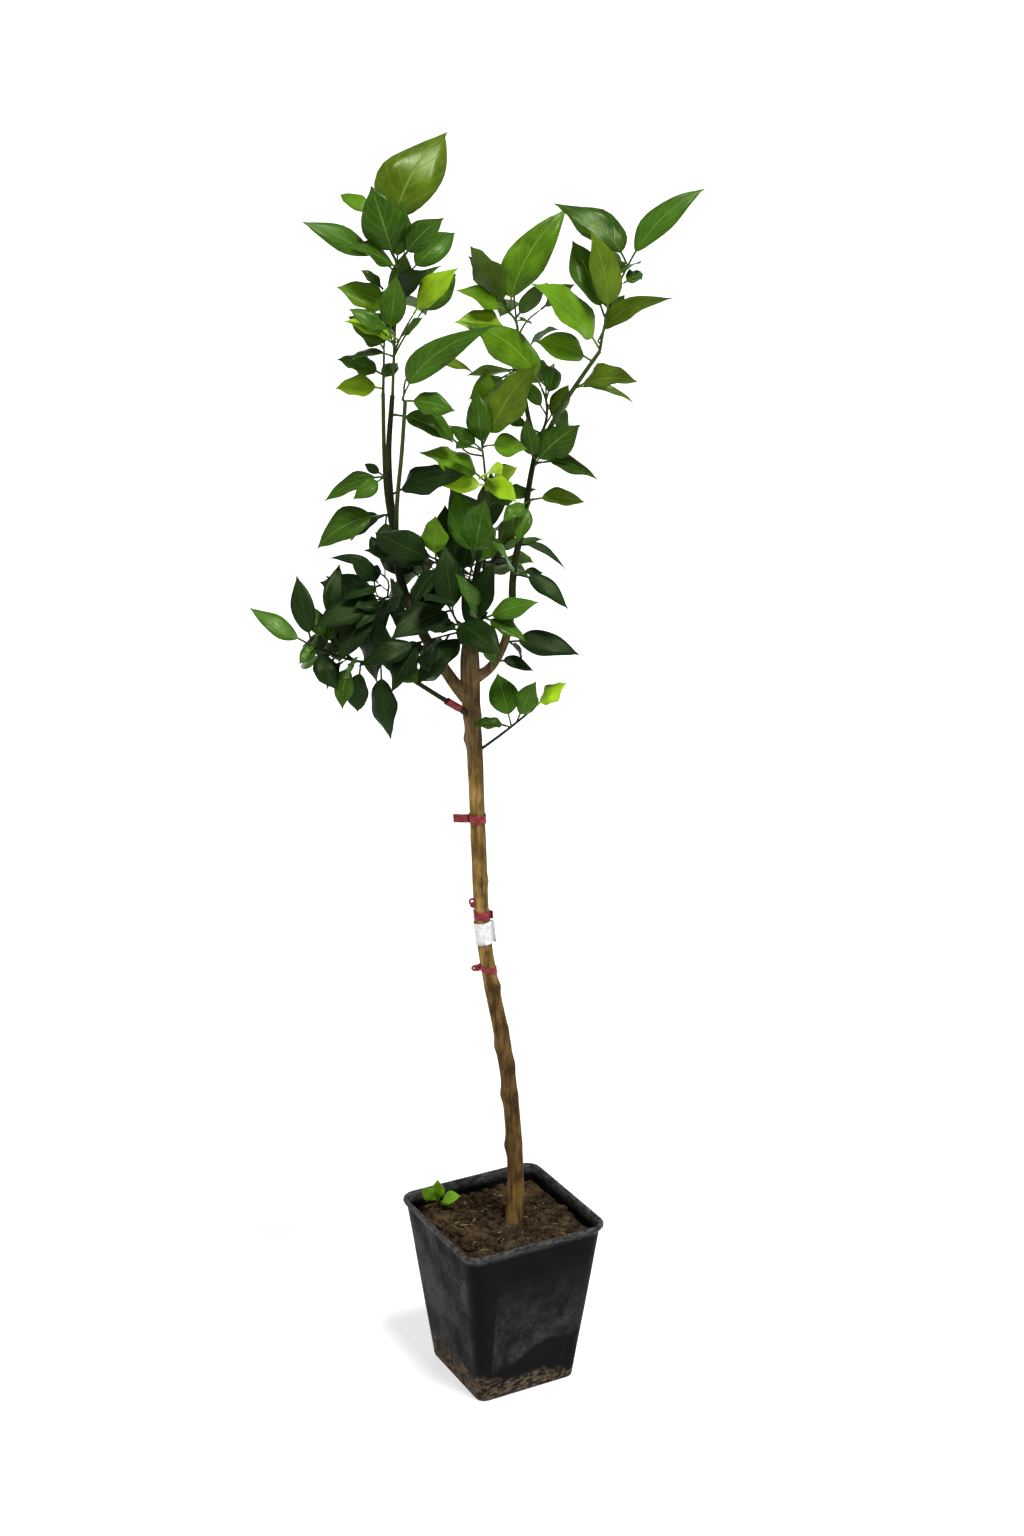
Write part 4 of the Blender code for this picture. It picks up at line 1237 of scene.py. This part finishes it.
tape_skin = strip_finish("red_tape", (0.120, 0.007, 0.010), 0.42, (0.270, 0.022, 0.026))
# The label's grey along its creases is painted shade.
label_skin = strip_finish("label_paper", (0.66, 0.66, 0.65), 0.45, (0.46, 0.47, 0.50))


def add_strip(bm, middle, along, radius, strip, rng):
    """A strip round the limb at its middle, with a free end that stands out to one side."""
    side = AWAY.cross(along).normalized() * math.copysign(1, strip.tab)
    across = along.cross(side)
    cells = STRIP_CELLS + FREE_CELLS
    for vert in bmesh.ops.create_grid(bm, x_segments=cells, y_segments=5, size=1)["verts"]:
        share = (vert.co.x + 1) / 2 * cells / STRIP_CELLS
        angle = share * 2 * math.pi
        level = vert.co.y
        slack = 0.25 * MM * (1 + noise.noise(Vector((share * 5, level, rng.random() * 0.01))))
        if share <= 1:
            reach = radius + slack + 0.15 * MM * share
            place = side * math.cos(angle) * reach + across * math.sin(angle) * reach
        else:
            out = (share - 1) * STRIP_CELLS / FREE_CELLS
            place = (side * (radius + slack + out * abs(strip.tab) * MM)
                     + across * (0.8 * MM * math.sin(out * 5) - out * 1.5 * MM))
        vert.co = middle + place + along * (level * strip.tall / 2 + strip.lean * math.cos(angle)) * MM


tape = bmesh.new()
label = bmesh.new()
for name, strip in STRIPS.items():
    line = limbs[strip.limb]
    middle, along = place_on(line, strip.at)
    near = [radius for place, radius in zip(line, limb_radii(strip.limb, line))
            if (place - middle).length < 0.03]
    target = label if name == "label" else tape
    add_strip(target, middle, along, max(near) + (0.5 + 0.02 * strip.tall) * MM, strip, random.Random(name))
for bm, thick in ((tape, 0.35 * MM), (label, 0.3 * MM)):
    bmesh.ops.solidify(bm, geom=bm.faces[:], thickness=thick)
    bmesh.ops.recalc_face_normals(bm, faces=bm.faces)
for at, wide, tall in LOOPS:
    middle, along = place_on(limbs["trunk"], at)
    side = along.cross(AWAY).normalized()
    turns = [2 * math.pi * i / LOOP_STEPS for i in range(LOOP_STEPS + 1)]
    line = [middle + (side * (6.5 + wide * (1 - math.cos(turn)) / 2) + along * (tall * math.sin(turn) / 2)
                      - AWAY * (3 + turn * 0.3)) * MM for turn in turns]
    add_tube(tape, line, [LOOP_THICK] * len(line), 6)
finish_piece("red_ties", tape, [tape_skin], ["tie_upper", "tie_middle", "tie_lower"])
finish_piece("blank_label", label, [label_skin], ["label"])

# %% [markdown]
# The stage is a round pale floor whose edge sweeps up into a backdrop, as in a photo studio, so no
# horizon shows. It glows a little, like a light table, which keeps the shadow faint. One large soft
# lamp stands high on the right for the gloss on the leaves and the soft shadow by the pot, a weaker
# one fills from the left, and the surround adds a little more.

# %% Floor and light
FLOOR_RADIUS = 7
BACKDROP_HEIGHT = 3.5
SWEEP_STEPS = 8
FLOOR_GLOW = 0.58
SURROUND_LIGHT = 0.26

bm = bmesh.new()
bmesh.ops.create_circle(bm, cap_ends=True, segments=96, radius=FLOOR_RADIUS)
edges = bm.edges[:]
for i in range(1, SWEEP_STEPS + 1):
    turn = math.pi / 2 * i / SWEEP_STEPS
    ring, edges = next_ring(bm, edges)
    for vert in ring:
        outward = Vector((vert.co.x, vert.co.y, 0)).normalized()
        vert.co = outward * (FLOOR_RADIUS + BACKDROP_HEIGHT * math.sin(turn))
        vert.co.z = BACKDROP_HEIGHT * (1 - math.cos(turn))
bmesh.ops.translate(bm, vec=(0, 0, -0.0005), verts=bm.verts)
bmesh.ops.recalc_face_normals(bm, faces=bm.faces)
pale = new_material("pale_floor", (0.54, 0.54, 0.54), 0.9, 0.1,
                    Emission_Color=(1, 1, 1, 1), Emission_Strength=FLOOR_GLOW)
make_object("floor", bm, [pale])


def add_sun(name, strength, softness, aim_from):
    lamp = put(name, bpy.data.lights.new(name, "SUN"))
    lamp.data.energy = strength
    lamp.data.angle = math.radians(softness)
    lamp.rotation_euler = (TURN @ Vector(aim_from)).to_track_quat("Z", "Y").to_euler()


add_sun("key", 3.9, 16, (0.34, -0.44, 1.35))
add_sun("fill", 0.5, 50, (-0.8, -0.7, 1.0))
world = bpy.data.worlds.new("studio")
world.use_nodes = True
surround = world.node_tree.nodes["Background"].inputs
surround["Color"].default_value = (1, 1, 1, 1)
surround["Strength"].default_value = SURROUND_LIGHT
bpy.context.scene.world = world
bpy.context.scene.view_settings.view_transform = "Standard"
print("floor and lights made")
